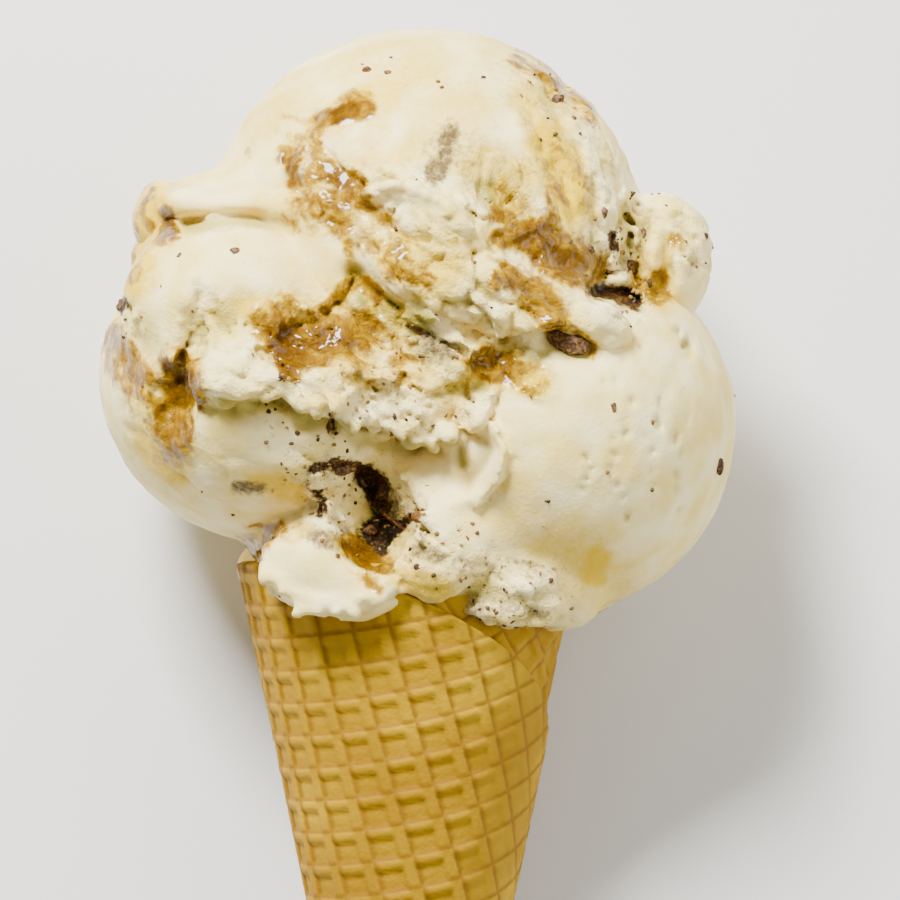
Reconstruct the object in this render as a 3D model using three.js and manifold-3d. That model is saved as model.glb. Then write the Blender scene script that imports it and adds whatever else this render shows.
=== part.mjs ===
// A two-scoop ice cream in a rolled sugar cone, laid down on its back.
// Units are millimetres. It is modelled upright, with x to the right, y away from the
// viewer, z up the cone's axis and the rim's centre at the origin, and is then laid down.
import * as THREE from "three";
import { mergeVertices } from "three/addons/utils/BufferGeometryUtils.js";
import Module from "manifold-3d";

const wasm = await Module();
wasm.setup();

// Driving dimensions of the rolled wafer. Heights are above the liner's inner face.
const MOUTH_RADIUS = 23;
const HALF_ANGLE = THREE.MathUtils.degToRad(11.75);
const RIM_Z = 4;
const TIP_Z = -106;
const HOLLOW_END_Z = -62;
const LINER_WALL = 0.9;
const SHEET_UNDERSIDE = 0.65;
const PIT_FLOOR = 1.25;
const RIDGE_TOP = 2;
const TIP_ROUNDING = [[2, 0], [3.2, 0.8], [4, 2.6]];
const TIP_SHOULDER = 1.5;
const CELL = 5.1;
const PIT_SIZE = 0.56;
const COLUMN_SHIFT = 0.5;
const ROW_SHIFT = 2.7;
const STRAIGHT_TURN = -64;

// The sheet starts inside, goes round behind, and its end laps over the front as a flap.
const SHEET_START = -375;
const SHEET_JOIN = [-125, -105];
const SHEET_END = 190;
const SHEET_TIP_Z = -97;
const WRAP_LIFT = 1.5;
const LIFT_TURNS = [-210, -10];
const FLAP_TURNS = { atRim: -1, gained: 200, within: 40 };
const FLAP_FADE = [42, 60];
const FLAP_CUTTER = { turns: 40, above: 3, levels: 16, arcs: 12 };

// Driving dimensions of the ice cream
const GAP = 0.3;
const GROWTH = 0.5;
const CHIP_GROWTH = 0.9;
const PLUG_BOTTOM = -12;
const PLUG_ROUNDING = 4;
const PLUG_CLEARANCE = 0.39;
const SEAT_Z = 36;
const FRONT_GRID = 3.7;
const BACK_GRID = 6;
const BACK_FROM_Y = 6;
const BLEND = 2.6;
const REACH = 70;
const GRID_MIDDLE_Z = 38;
const FILLED_SHARE = 0.05;
const MARCH = { steps: 120, share: 0.8 };
const SEGMENTS = { liner: 48, blank: 24, rim: 48, plug: 32 };
const REST_TILT = THREE.MathUtils.degToRad(12.7);
const REST_MIDDLE = { across: 2.5, along: 30 };

const COLOURS = { wafer: 0xd2a04b, cream: 0xf1ead0 };

const rad = THREE.MathUtils.degToRad;
const deg = THREE.MathUtils.radToDeg;
const APEX_Z = -MOUTH_RADIUS / Math.tan(HALF_ANGLE);

// The balls that the scoops were formed as, with half sizes across, deep and up
const BALLS = [
  { name: "top", at: [2, 0, 52.9], size: [34.1, 34.1, 34.1] },
  { name: "left", at: [-19.6, 0, 32.6], size: [28.4, 36, 25.6] },
  { name: "right", at: [22, 0, 25.4], size: [28.4, 34, 29] },
  { name: "neck", at: [2.6, 0, 9.5], size: [27.6, 30, 16] },
];

// Folds and lumps at the front: x and z, half sizes, turn in the picture, and how far each
// stands proud of the balls
const UPPER_FRONT = [
  { name: "tongue root", at: [-1.6, 61.2], size: [5.5, 5, 4.5], turn: -30, proud: 2.8 },
  { name: "tongue top", at: [4.7, 55], size: [8, 6, 6.5], turn: -40, proud: 4.2 },
  { name: "tongue left", at: [1.6, 48.5], size: [8, 7, 6], turn: -30, proud: 4.2 },
  { name: "tongue middle", at: [10.6, 46.5], size: [8.5, 7, 6], turn: -35, proud: 5.8 },
  { name: "tongue right", at: [18.6, 44.4], size: [7, 6, 4.5], turn: -20, proud: 5.6 },
  { name: "tongue tip", at: [27.1, 41.9], size: [7.5, 6, 4.2], turn: -32, proud: 6.2 },
];
const LOWER_FRONT = [
  { name: "left fold", at: [-26.4, 44.2], size: [17.4, 16, 14], turn: 0, proud: 3.5 },
  { name: "fold hem", at: [-24.8, 33.3], size: [10, 7, 5], turn: 4, proud: 4.2 },
  { name: "torn left", at: [-12.4, 32.4], size: [7, 6, 4.6], turn: -8, proud: 4 },
  { name: "torn middle", at: [-3.1, 30.2], size: [12, 7, 6.5], turn: -12, proud: 4.6 },
  { name: "torn right", at: [4.7, 35.6], size: [9, 6, 5.4], turn: -25, proud: 4.4 },
];

// Folds and lips placed by their own centres
const UPPER_PLACED = [
  { name: "ledge", at: [-26.5, -16, 59.6], size: [12, 8, 4.2] },
  { name: "ledge end", at: [-37.3, -6, 57.2], size: [5.4, 10, 6.4] },
  { name: "shoulder", at: [-30.5, 0, 57.5], size: [10, 14, 7.2] },
  { name: "nugget", at: [38.6, -4, 50.6], size: [8.1, 10, 10.6] },
  { name: "back fold", at: [-12, 31, 53], size: [15, 11, 9], turn: 20 },
  { name: "back roll", at: [14, 30, 55], size: [14, 11.5, 9], turn: -25 },
];
const LOWER_PLACED = [
  { name: "back middle", at: [2, 13.5, 27.5], size: [26, 21.5, 20] },
  { name: "white lip", at: [-12, -23, 4], size: [10.5, 7, 7.4] },
  { name: "white lip hem", at: [-8, -25, 0.5], size: [7, 4.5, 4.4] },
  { name: "middle lip", at: [3.5, -25.5, 4], size: [7, 4.5, 5.6] },
  { name: "right lip", at: [15.4, -20.5, 0.6], size: [8.4, 6, 6.5] },
  { name: "right corner", at: [23, -11, 0.5], size: [7, 10, 6.6] },
  { name: "left shoulder", at: [-37.5, -5, 50.5], size: [5.6, 9, 5.6] },
  { name: "fold top", at: [-32, -12, 53], size: [8, 9, 6] },
];
const BACK_LIPS = {
  turns: [72, 240],
  count: 7,
  radius: 23.5,
  z: 2.5,
  wave: 1.8,
  size: [8, 5, 6.2],
  uneven: 0.15,
  steps: { wave: 2.4, size: 1.9 },
};

// Hollows: x and z, half sizes, and how far each centre lies behind the balls' front
const UPPER_HOLLOWS = [
  { name: "dark gap", at: [32.9, 46], size: [4, 6, 2.8], turn: -20, depth: -1 },
];
const LOWER_HOLLOWS = [
  { name: "cavity", at: [-5.4, 11.6], size: [6.5, 7.5, 8], turn: 0, depth: 1 },
  { name: "caramel pocket", at: [-15.5, 38.6], size: [6, 5, 4.6], turn: 10, depth: -3 },
  { name: "left pocket", at: [-36.4, 29.5], size: [4, 4.5, 6], turn: 10, depth: -1 },
];

// Cookie and chocolate pieces that stand out: x and z, edge lengths, turns, and how far each
// centre lies behind the cream's front
const UPPER_CHIPS = [
  { at: [34.6, 50.6], size: [4.2, 4, 3.2], turns: [0.3, 0.5, 0.4], sunk: 0.6 },
];
const LOWER_CHIPS = [
  { at: [25, 38.3], size: [5.8, 5, 4.2], turns: [0.2, -0.3, -0.2], sunk: -1 },
  { at: [-42.6, 44.6], size: [4.4, 5, 4.4], turns: [0.5, 0.4, 0.3], sunk: 1 },
  { at: [-9.5, 18.8], size: [6, 5, 3.4], turns: [0.4, 0.1, -0.2], sunk: 0.6 },
  { at: [-0.6, 9.6], size: [3.2, 8, 7.4], turns: [0.2, 0.7, 0.1], sunk: 2 },
];

// Signed distance, near enough, from (x, y, z) to an ellipsoid turned about the y axis
function ellipsoid(x, y, z, { at, size, turn = 0 }) {
  const c = Math.cos(rad(turn));
  const s = Math.sin(rad(turn));
  const dx = x - at[0];
  const dz = z - at[2];
  const px = (c * dx + s * dz) / size[0];
  const py = (y - at[1]) / size[1];
  const pz = (c * dz - s * dx) / size[2];
  const inner = Math.hypot(px, py, pz);
  const slope = Math.hypot(px / size[0], py / size[1], pz / size[2]);
  return slope > 0 ? (inner * (inner - 1)) / slope : -Math.min(...size);
}

const smoothMin = (a, b, k) => {
  const h = Math.max(k - Math.abs(a - b), 0) / k;
  return Math.min(a, b) - (h * h * k) / 4;
};
const ballField = (x, y, z) => Math.min(...BALLS.map((ball) => ellipsoid(x, y, z, ball)));

// The y of a body's front at (x, z), found by stepping in from the viewer
function frontDepth(x, z, field = ballField) {
  let y = -REACH;
  for (let step = 0; step < MARCH.steps; step++) y += MARCH.share * field(x, y, z);
  return y;
}

const standingProud = ({ at: [x, z], size, turn, proud }) => ({
  at: [x, frontDepth(x, z) - proud + size[1], z],
  size,
  turn,
});
const sunkIn = ({ at: [x, z], size, turn, depth }) => ({
  at: [x, frontDepth(x, z) + depth, z],
  size,
  turn,
});

// Lips round the back of the rim, uneven by a rule
const backLips = Array.from({ length: BACK_LIPS.count }, (_, i) => {
  const { turns, count, radius, z, wave, size, uneven, steps } = BACK_LIPS;
  const turn = rad(THREE.MathUtils.lerp(...turns, i / (count - 1)));
  const height = z + wave * Math.sin(steps.wave * i + 1);
  const share = 1 + uneven * Math.sin(steps.size * i);
  return {
    at: [radius * Math.sin(turn), -radius * Math.cos(turn), height],
    size: size.map((s) => s * share),
  };
});

// Slow waves over the whole surface, and crags across the torn middle of the front
const WAVES = { height: 0.5, pitch: [20, 21, 17], sway: 1.3, phase: 0.7 };
const CRAGS = {
  height: 1.7,
  pitch: 9.5,
  ways: [[1, 0.6], [-0.5, 0.9]],
  phase: 0.8,
  centre: [3, 37],
  reach: [25, 12],
  turn: -28,
};
function relief(x, y, z) {
  const [a, b, c] = WAVES.pitch.map((pitch) => (2 * Math.PI) / pitch);
  const waves = Math.sin(a * x + WAVES.sway * Math.sin(c * z)) * Math.sin(b * y + WAVES.phase + c * z);
  const turn = rad(CRAGS.turn);
  const dx = x - CRAGS.centre[0];
  const dz = z - CRAGS.centre[1];
  const along = (Math.cos(turn) * dx + Math.sin(turn) * dz) / CRAGS.reach[0];
  const across = (Math.cos(turn) * dz - Math.sin(turn) * dx) / CRAGS.reach[1];
  const torn = y < 0 ? Math.exp(-along * along - across * across) : 0;
  const w = (2 * Math.PI) / CRAGS.pitch;
  const [first, second] = CRAGS.ways.map(([right, up]) => w * (right * x + up * z));
  const crags = Math.sin(first) * Math.sin(second + CRAGS.phase);
  return WAVES.height * waves + CRAGS.height * torn * crags;
}

function creamField(lumps, hollows) {
  return (x, y, z) => {
    let d = REACH;
    for (const lump of lumps) d = smoothMin(d, ellipsoid(x, y, z, lump), BLEND);
    for (const hollow of hollows) d = -smoothMin(-d, ellipsoid(x, y, z, hollow), BLEND);
    return d - relief(x, y, z);
  };
}

// The closed surface where the field is zero, with one corner in each grid cell that it
// passes through and one four-sided face across each grid edge that it crosses
function surfaceOf(field, grid, grown) {
  const side = Math.ceil((2 * REACH) / grid);
  const place = (n) => n * grid - REACH;
  const index = (i, j, k) => (k * side + j) * side + i;
  const step = [1, side, side * side];
  const value = new Float64Array(side ** 3);
  for (let k = 0; k < side; k++) {
    for (let j = 0; j < side; j++) {
      const z = place(k) + GRID_MIDDLE_Z;
      for (let i = 0; i < side; i++) value[index(i, j, k)] = field(place(i), place(j), z);
    }
  }
  const filled = -FILLED_SHARE * grid;
  fillTouchingSheets(value, step, filled);
  if (grown) {
    value.forEach((v, n) => (value[n] = v - grown));
    fillTouchingSheets(value, step, filled - grown);
  }
  const corners = [];
  const cornerOf = new Map();
  const cellCorner = (cell) => {
    if (cornerOf.has(cell)) return cornerOf.get(cell);
    const sum = [0, 0, 0];
    let crossings = 0;
    for (const [axis, start] of cellEdges(step)) {
      const a = value[cell + start];
      const b = value[cell + start + step[axis]];
      if (a < 0 === b < 0) continue;
      const base = step.map((s, n) => (axis === n ? a / (a - b) : Math.floor(start / s) % side));
      base.forEach((v, n) => (sum[n] += v));
      crossings++;
    }
    const origin = [cell % side, Math.floor(cell / side) % side, Math.floor(cell / side ** 2)];
    const [x, y, z] = origin.map((o, n) => place(o + sum[n] / crossings));
    cornerOf.set(cell, corners.length / 3);
    corners.push(x, y, z + GRID_MIDDLE_Z);
    return cornerOf.get(cell);
  };
  const faces = [];
  for (let cell = 0; cell < value.length; cell++) {
    for (let axis = 0; axis < 3; axis++) {
      const next = cell + step[axis];
      if (next >= value.length || value[cell] < 0 === value[next] < 0) continue;
      const u = step[(axis + 1) % 3];
      const v = step[(axis + 2) % 3];
      const ring = [cell, cell - u, cell - u - v, cell - v].map(cellCorner);
      if (value[cell] > 0) ring.reverse();
      faces.push(...splitShorter(ring, corners));
    }
  }
  return meshOf(corners, faces);
}

function meshOf(corners, faces) {
  const position = new THREE.Float32BufferAttribute(corners, 3);
  return new THREE.BufferGeometry().setAttribute("position", position).setIndex(faces);
}

// The twelve edges of a cell, as their axis and the offset of their first end
function cellEdges(step) {
  const edges = [];
  for (let axis = 0; axis < 3; axis++) {
    const u = step[(axis + 1) % 3];
    const v = step[(axis + 2) % 3];
    for (const start of [0, u, v, u + v]) edges.push([axis, start]);
  }
  return edges;
}

// Where two sheets would meet in one cell, the cream is filled in until they don't.
function fillTouchingSheets(value, step, filled) {
  let changed = true;
  while (changed) {
    changed = false;
    for (let at = 0; at + step[0] + step[1] + step[2] < value.length; at++) {
      for (let axis = 0; axis < 3; axis++) {
        const u = step[(axis + 1) % 3];
        const v = step[(axis + 2) % 3];
        const [a, b, c, d] = [at, at + u, at + u + v, at + v].map((n) => value[n] < 0);
        if (a !== c || b !== d || a === b) continue;
        value[a ? at + u : at] = filled;
        changed = true;
      }
      const inside = (offset) => value[at + offset] < 0;
      const all = step[0] + step[1] + step[2];
      const ends = [0, step[0], step[1], step[2]].map((offset) => [offset, all - offset]);
      for (const [p, q] of ends) {
        const corners = ends.flat().filter(inside);
        if (corners.length === 2 && inside(p) && inside(q)) {
          value[at + ends.flat().find((offset) => !inside(offset))] = filled;
          changed = true;
        }
        if (corners.length === 6 && !inside(p) && !inside(q)) {
          value[at + p] = filled;
          changed = true;
        }
      }
    }
  }
}

function splitShorter([a, b, c, d], corners) {
  const far = (p, q) => Math.hypot(...[0, 1, 2].map((n) => corners[3 * p + n] - corners[3 * q + n]));
  return far(a, c) < far(b, d) ? [a, b, c, a, c, d] : [b, c, d, b, d, a];
}

// The body within a field, finer at the front than at the plain back
function bodyOf(field, grown = 0) {
  const half = (grid, side) => {
    const wide = 2 * REACH;
    const box = new THREE.BoxGeometry(wide, wide, wide);
    box.translate(0, BACK_FROM_Y + side * REACH, GRID_MIDDLE_Z);
    return solidOf(surfaceOf(field, grid, grown)).intersect(solidOf(box));
  };
  return half(FRONT_GRID, -1).add(half(BACK_GRID, 1));
}

function bare(geometry) {
  geometry.deleteAttribute("normal");
  geometry.deleteAttribute("uv");
  return geometry;
}

function solidOf(geometry) {
  const merged = mergeVertices(bare(geometry.clone()), 1e-4);
  return new wasm.Manifold(
    new wasm.Mesh({
      numProp: 3,
      vertProperties: new Float32Array(merged.getAttribute("position").array),
      triVerts: new Uint32Array(merged.index.array),
    }),
  );
}

function geometryOf(solid) {
  const { numProp, vertProperties, triVerts } = solid.getMesh();
  const corners = new Float32Array((vertProperties.length / numProp) * 3);
  for (let i = 0; i * 3 < corners.length; i++) {
    corners.set(vertProperties.subarray(i * numProp, i * numProp + 3), i * 3);
  }
  return meshOf(corners, Array.from(triVerts));
}

// The outer wrap rises as it laps over the start of the sheet.
const wrapLift = (turn) => WRAP_LIFT * THREE.MathUtils.smoothstep(turn, ...LIFT_TURNS);
const flapTurn = (z) => FLAP_TURNS.atRim + FLAP_TURNS.gained * (1 - Math.exp(z / FLAP_TURNS.within));

const coneRadius = (z, height) => (z - APEX_Z) * Math.tan(HALF_ANGLE) + height / Math.cos(HALF_ANGLE);

// A point at a turn about the axis, a place up it, and a height off the liner's inner face
function onCone(turn, z, height) {
  const radius = coneRadius(z, height);
  return [radius * Math.sin(rad(turn)), -radius * Math.cos(rad(turn)), z];
}

// The turn and z of a point of the flat sheet once it is rolled up
function rolled(flatX, flatY) {
  const slant = Math.hypot(flatX, flatY);
  const turn = STRAIGHT_TURN + deg(Math.atan2(flatX, flatY)) / Math.sin(HALF_ANGLE);
  return [turn, APEX_Z + slant * Math.cos(HALF_ANGLE)];
}

// A closed body turned about the axis, from [z, height, lifted] rows and a lift for each turn
function turned(profile, segments, lift) {
  const corners = [];
  const faces = [];
  const rows = profile.length;
  for (let n = 0; n < segments; n++) {
    const turn = (360 * n) / segments;
    for (const [z, height, lifted] of profile) {
      corners.push(...onCone(turn, z, lifted ? height + lift(turn) : height));
    }
    const next = ((n + 1) % segments) * rows;
    for (let row = 0; row < rows; row++) {
      const up = (row + 1) % rows;
      faces.push(n * rows + row, next + row, next + up, n * rows + row, next + up, n * rows + up);
    }
  }
  return solidOf(meshOf(corners, faces));
}

function lathed(profile, segments) {
  const points = profile.map(([r, z]) => new THREE.Vector2(r, z));
  return solidOf(new THREE.LatheGeometry(points, segments).rotateX(Math.PI / 2));
}

// Part of the baked sheet between two turns, as whole cells with a flat-floored pit in each
function latticeSheet(fromTurn, toTurn) {
  const span = Math.ceil((RIM_Z + 2 * CELL - APEX_Z) / CELL / Math.cos(HALF_ANGLE));
  const corners = [];
  const faces = [];
  const numbered = new Map();
  const rolledCorner = (i, j) => rolled(i * CELL + COLUMN_SHIFT, j * CELL + ROW_SHIFT);
  const corner = (i, j, height, lifted) => {
    const key = `${i},${j},${height}`;
    if (!numbered.has(key)) {
      const [turn, z] = rolledCorner(i, j);
      numbered.set(key, corners.length / 3);
      corners.push(...onCone(turn, z, height + (lifted ? wrapLift(turn) : 0)));
    }
    return numbered.get(key);
  };
  const within = (i, j) => {
    const [turn, z] = rolledCorner(i + 0.5, j + 0.5);
    return turn > fromTurn && turn < toTurn && z > SHEET_TIP_Z && z < RIM_Z + CELL;
  };
  const ring = (i, j, inset = 0) => [
    [i + inset, j + inset],
    [i + 1 - inset, j + inset],
    [i + 1 - inset, j + 1 - inset],
    [i + inset, j + 1 - inset],
  ];
  const quad = (a, b, c, d) => faces.push(a, b, c, a, c, d);
  const filled = new Set();
  for (let i = -span; i < span; i++) {
    for (let j = -span; j < span; j++) {
      if (within(i, j)) filled.add(`${i},${j}`);
    }
  }
  for (const key of filled) {
    const [i, j] = key.split(",").map(Number);
    const top = ring(i, j).map(([a, b]) => corner(a, b, RIDGE_TOP, true));
    const floor = ring(i, j, (1 - PIT_SIZE) / 2).map(([a, b]) => corner(a, b, PIT_FLOOR, true));
    const under = ring(i, j).map(([a, b]) => corner(a, b, SHEET_UNDERSIDE, false));
    const beside = [[i, j - 1], [i + 1, j], [i, j + 1], [i - 1, j]];
    quad(...floor);
    quad(...under.toReversed());
    for (let side = 0; side < 4; side++) {
      const next = (side + 1) % 4;
      quad(top[side], top[next], floor[next], floor[side]);
      if (!filled.has(beside[side].join())) quad(under[side], under[next], top[next], top[side]);
    }
  }
  return solidOf(meshOf(corners, faces));
}

// What lies beyond the flap's edge, to cut the outer wrap along it
function beyondFlap() {
  const { turns, above, levels, arcs } = FLAP_CUTTER;
  const heights = [SHEET_UNDERSIDE, RIDGE_TOP + WRAP_LIFT + above];
  const lastTurn = flapTurn(TIP_Z) + turns;
  const bottom = TIP_Z - 2 * CELL;
  const top = RIM_Z + 2 * CELL;
  const corners = [];
  const faces = [];
  for (let level = 0; level <= levels; level++) {
    const z = THREE.MathUtils.lerp(bottom, top, level / levels);
    for (let arc = 0; arc <= arcs; arc++) {
      const turn = THREE.MathUtils.lerp(flapTurn(z), lastTurn, arc / arcs);
      for (const height of heights) corners.push(...onCone(turn, z, height));
    }
  }
  const at = (level, arc, outer) => 2 * (level * (arcs + 1) + arc) + outer;
  const quad = (a, b, c, d) => faces.push(a, b, c, a, c, d);
  for (let level = 0; level < levels; level++) {
    for (let arc = 0; arc < arcs; arc++) {
      quad(at(level, arc, 1), at(level, arc + 1, 1), at(level + 1, arc + 1, 1), at(level + 1, arc, 1));
      quad(at(level + 1, arc, 0), at(level + 1, arc + 1, 0), at(level, arc + 1, 0), at(level, arc, 0));
    }
    quad(at(level, 0, 0), at(level, 0, 1), at(level + 1, 0, 1), at(level + 1, 0, 0));
    quad(at(level + 1, arcs, 0), at(level + 1, arcs, 1), at(level, arcs, 1), at(level, arcs, 0));
  }
  for (let arc = 0; arc < arcs; arc++) {
    quad(at(0, arc, 0), at(0, arc + 1, 0), at(0, arc + 1, 1), at(0, arc, 1));
    quad(at(levels, arc, 1), at(levels, arc + 1, 1), at(levels, arc + 1, 0), at(levels, arc, 0));
  }
  return solidOf(meshOf(corners, faces));
}

// The rolled wafer: a thin closed liner that carries the lattice, and a rounded tip
function wafer() {
  const shoulder = SHEET_TIP_Z + TIP_SHOULDER;
  const liner = lathed(
    [
      [0, TIP_Z - CELL],
      [coneRadius(TIP_Z - CELL, RIDGE_TOP), TIP_Z - CELL],
      [coneRadius(SHEET_TIP_Z, RIDGE_TOP), SHEET_TIP_Z],
      [coneRadius(shoulder, LINER_WALL), shoulder],
      [coneRadius(RIM_Z + CELL, LINER_WALL), RIM_Z + CELL],
      [coneRadius(RIM_Z + CELL, 0), RIM_Z + CELL],
      [coneRadius(HOLLOW_END_Z, 0), HOLLOW_END_Z],
      [0, HOLLOW_END_Z],
    ],
    SEGMENTS.liner,
  );
  const outerWrap = latticeSheet(SHEET_JOIN[0], SHEET_END).subtract(beyondFlap());
  const innerWrap = latticeSheet(SHEET_START, SHEET_JOIN[1]);
  const wide = 2 * MOUTH_RADIUS;
  const rounding = TIP_ROUNDING.map(([radius, rise]) => [radius, TIP_Z + rise]);
  const flared = rounding.at(-1)[1] + wide;
  const profile = [[0, TIP_Z], ...rounding, [wide, flared], [wide, RIM_Z], [0, RIM_Z]];
  return liner.add(innerWrap).add(outerWrap).intersect(lathed(profile, SEGMENTS.blank));
}

// The space that the wafer's rim takes out of the cream, with the gap all round it
function rimSpace() {
  const top = RIM_Z + GAP;
  const bottom = PLUG_BOTTOM - CELL;
  const lift = (turn) => {
    const wound = turn > FLAP_FADE[1] ? turn - 360 : turn;
    const faded = WRAP_LIFT * (1 - THREE.MathUtils.smoothstep(wound, ...FLAP_FADE));
    return wound > FLAP_FADE[0] ? faded : wrapLift(wound);
  };
  return turned(
    [
      [bottom, RIDGE_TOP + GAP, true],
      [top, RIDGE_TOP + GAP, true],
      [top, -GAP, false],
      [bottom, -GAP, false],
    ],
    SEGMENTS.rim,
    lift,
  );
}

// What goes down into the wafer's mouth
function plug() {
  const inside = coneRadius(PLUG_BOTTOM, -PLUG_CLEARANCE);
  const top = RIM_Z + 1;
  return lathed(
    [
      [0, PLUG_BOTTOM],
      [inside - PLUG_ROUNDING, PLUG_BOTTOM],
      [inside, PLUG_BOTTOM + PLUG_ROUNDING],
      [coneRadius(top, -PLUG_CLEARANCE), top],
      [0, top + PLUG_ROUNDING],
    ],
    SEGMENTS.plug,
  );
}

const onFrontOf = (field, { at: [x, z], size, turns, sunk }) => ({
  at: [x, frontDepth(x, z, field) + sunk, z],
  size,
  turns,
});

// A broken piece: a box whose corners, back and ends are chipped by shares of its size
const CHIPPED = { corners: 0.18, back: 0.12, ends: 0.1 };
function chip({ at, size, turns }) {
  const box = new THREE.BoxGeometry(...size);
  const corners = box.getAttribute("position");
  for (let i = 0; i < corners.count; i++) {
    const [x, y, z] = [corners.getX(i), corners.getY(i), corners.getZ(i)];
    const across = 1 - CHIPPED.corners * Math.sign(x * z) + CHIPPED.back * Math.sign(y);
    corners.setXYZ(i, x * across, y, z / (1 + CHIPPED.ends * Math.sign(x)));
  }
  box.rotateX(turns[0]).rotateY(turns[1]).rotateZ(turns[2]).translate(...at);
  return solidOf(box);
}

const joined = (body, pieces) => pieces.reduce((sum, piece) => sum.add(piece), body);

// Everything below the floor on which the cone lies, so that the cream gets its flat spot
const DOWN = new THREE.Vector3(0, Math.cos(REST_TILT), -Math.sin(REST_TILT));
function floorUnder(solid) {
  const corners = geometryOf(solid).getAttribute("position");
  const point = new THREE.Vector3();
  let reach = -Infinity;
  for (let i = 0; i < corners.count; i++) {
    reach = Math.max(reach, point.fromBufferAttribute(corners, i).dot(DOWN));
  }
  return reach;
}

const waferSolid = wafer();
const floorReach = floorUnder(waferSolid);
const floorSize = 4 * REACH;
const floor = solidOf(
  new THREE.BoxGeometry(floorSize, floorSize, floorSize)
    .rotateX(-REST_TILT)
    .translate(...DOWN.clone().multiplyScalar(floorReach + floorSize / 2)),
);

// Everything below a level, to cut the upper scoop flat where it sits in the lower one
function below(z) {
  const box = new THREE.BoxGeometry(2 * REACH, 2 * REACH, REACH);
  return solidOf(box.translate(0, 0, z - REACH / 2));
}

const grownChip = (piece) => chip({ ...piece, size: piece.size.map((s) => s + CHIP_GROWTH) });

const upperLumps = [BALLS[0], ...UPPER_PLACED, ...UPPER_FRONT.map(standingProud)];
const upperField = creamField(upperLumps, UPPER_HOLLOWS.map(sunkIn));
const upperChips = UPPER_CHIPS.map((piece) => onFrontOf(upperField, piece));
const upperSolid = joined(bodyOf(upperField), upperChips.map(chip)).subtract(below(SEAT_Z));
const upperSpace = joined(bodyOf(upperField, GROWTH), upperChips.map(grownChip))
  .subtract(below(SEAT_Z - GAP));

const lowerLumps = [...BALLS.slice(1), ...LOWER_PLACED, ...backLips, ...LOWER_FRONT.map(standingProud)];
const lowerField = creamField(lowerLumps, LOWER_HOLLOWS.map(sunkIn));
const lowerChips = LOWER_CHIPS.map((piece) => onFrontOf(lowerField, piece));
const lowerSolid = joined(bodyOf(lowerField), lowerChips.map(chip))
  .subtract(rimSpace())
  .add(plug())
  .subtract(upperSpace);

function named(name, solid, colour, roughness) {
  const material = new THREE.MeshStandardMaterial({ color: colour, roughness, metalness: 0 });
  const mesh = new THREE.Mesh(geometryOf(solid), material);
  mesh.name = name;
  return mesh;
}

const upright = new THREE.Group();
upright.add(
  named("wafer_cone", waferSolid, COLOURS.wafer, 0.7),
  named("lower_scoop", lowerSolid.subtract(floor), COLOURS.cream, 0.5),
  named("upper_scoop", upperSolid.subtract(floor), COLOURS.cream, 0.5),
);

// Laid on its back, with the flat spot's middle at the origin
upright.rotation.x = REST_TILT - Math.PI / 2;
upright.position.set(-REST_MIDDLE.across, -REST_MIDDLE.along, floorReach);
const iceCream = new THREE.Group();
iceCream.add(upright);

export default iceCream;
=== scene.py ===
"""A scooped ice cream in a rolled sugar cone, lying on a pale floor, seen from above.

Shapes are worked out in the cone's own upright frame in millimetres: x to the right, y away
from the viewer, z up the cone's axis, and the rim's centre at the origin. They are then laid
down and scaled to the frame's metres."""

import math

import bmesh
import bpy
import numpy as np
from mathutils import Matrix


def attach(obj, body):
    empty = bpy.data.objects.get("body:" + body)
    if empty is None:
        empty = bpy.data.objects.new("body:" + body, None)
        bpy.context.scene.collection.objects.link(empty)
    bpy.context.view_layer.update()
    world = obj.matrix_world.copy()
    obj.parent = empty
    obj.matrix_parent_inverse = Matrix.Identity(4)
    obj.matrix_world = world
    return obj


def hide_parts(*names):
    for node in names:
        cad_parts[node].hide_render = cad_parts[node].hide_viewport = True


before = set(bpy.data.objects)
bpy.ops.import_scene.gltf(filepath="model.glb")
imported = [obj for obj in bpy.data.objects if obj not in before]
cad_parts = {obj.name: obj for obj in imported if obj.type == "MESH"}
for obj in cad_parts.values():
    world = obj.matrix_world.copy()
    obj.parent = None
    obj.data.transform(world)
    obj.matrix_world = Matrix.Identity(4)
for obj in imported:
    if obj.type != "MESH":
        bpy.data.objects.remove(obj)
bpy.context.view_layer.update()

import openvdb
from mathutils import Matrix, Vector

MM = 0.001

# How the upright cone is laid down
REST_TILT = math.radians(12.7)
REST_ACROSS = 2.5
REST_ALONG = 30.0
FLOOR_REACH = 27.128
LAY_DOWN = (
    Matrix.Translation(Vector((-REST_ACROSS, -REST_ALONG, FLOOR_REACH)) * MM)
    @ Matrix.Rotation(REST_TILT - math.pi / 2, 4, "X")
    @ Matrix.Scale(MM, 4)
)

# The camera looks along the upright frame's y axis at this point of its x and z
LOOK_AT = (6.2, 21.7)
CAMERA_AWAY = 1200.0
PICTURE_WIDTH = 139.5

# The rolled wafer. Its pit floors, ridge tops and lift are heights over its inner face. Turns are
# in degrees round the axis, from the viewer's side
MOUTH_RADIUS = 23.0
HALF_ANGLE = math.radians(11.75)
RIM_Z = 4.0
TIP_Z = -106.0
CELL = 5.1
COLUMN_SHIFT = 0.5
ROW_SHIFT = 2.7
STRAIGHT_TURN = -64.0
PIT_FLOOR = 1.38
RIDGE_TOP = 2.0
WRAP_LIFT = 1.5
LIFT_TURNS = (-210.0, -10.0)
FLAP_TURNS = {"at_rim": -1.0, "gained": 200.0, "within": 40.0}
APEX_Z = -MOUTH_RADIUS / math.tan(HALF_ANGLE)

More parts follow.
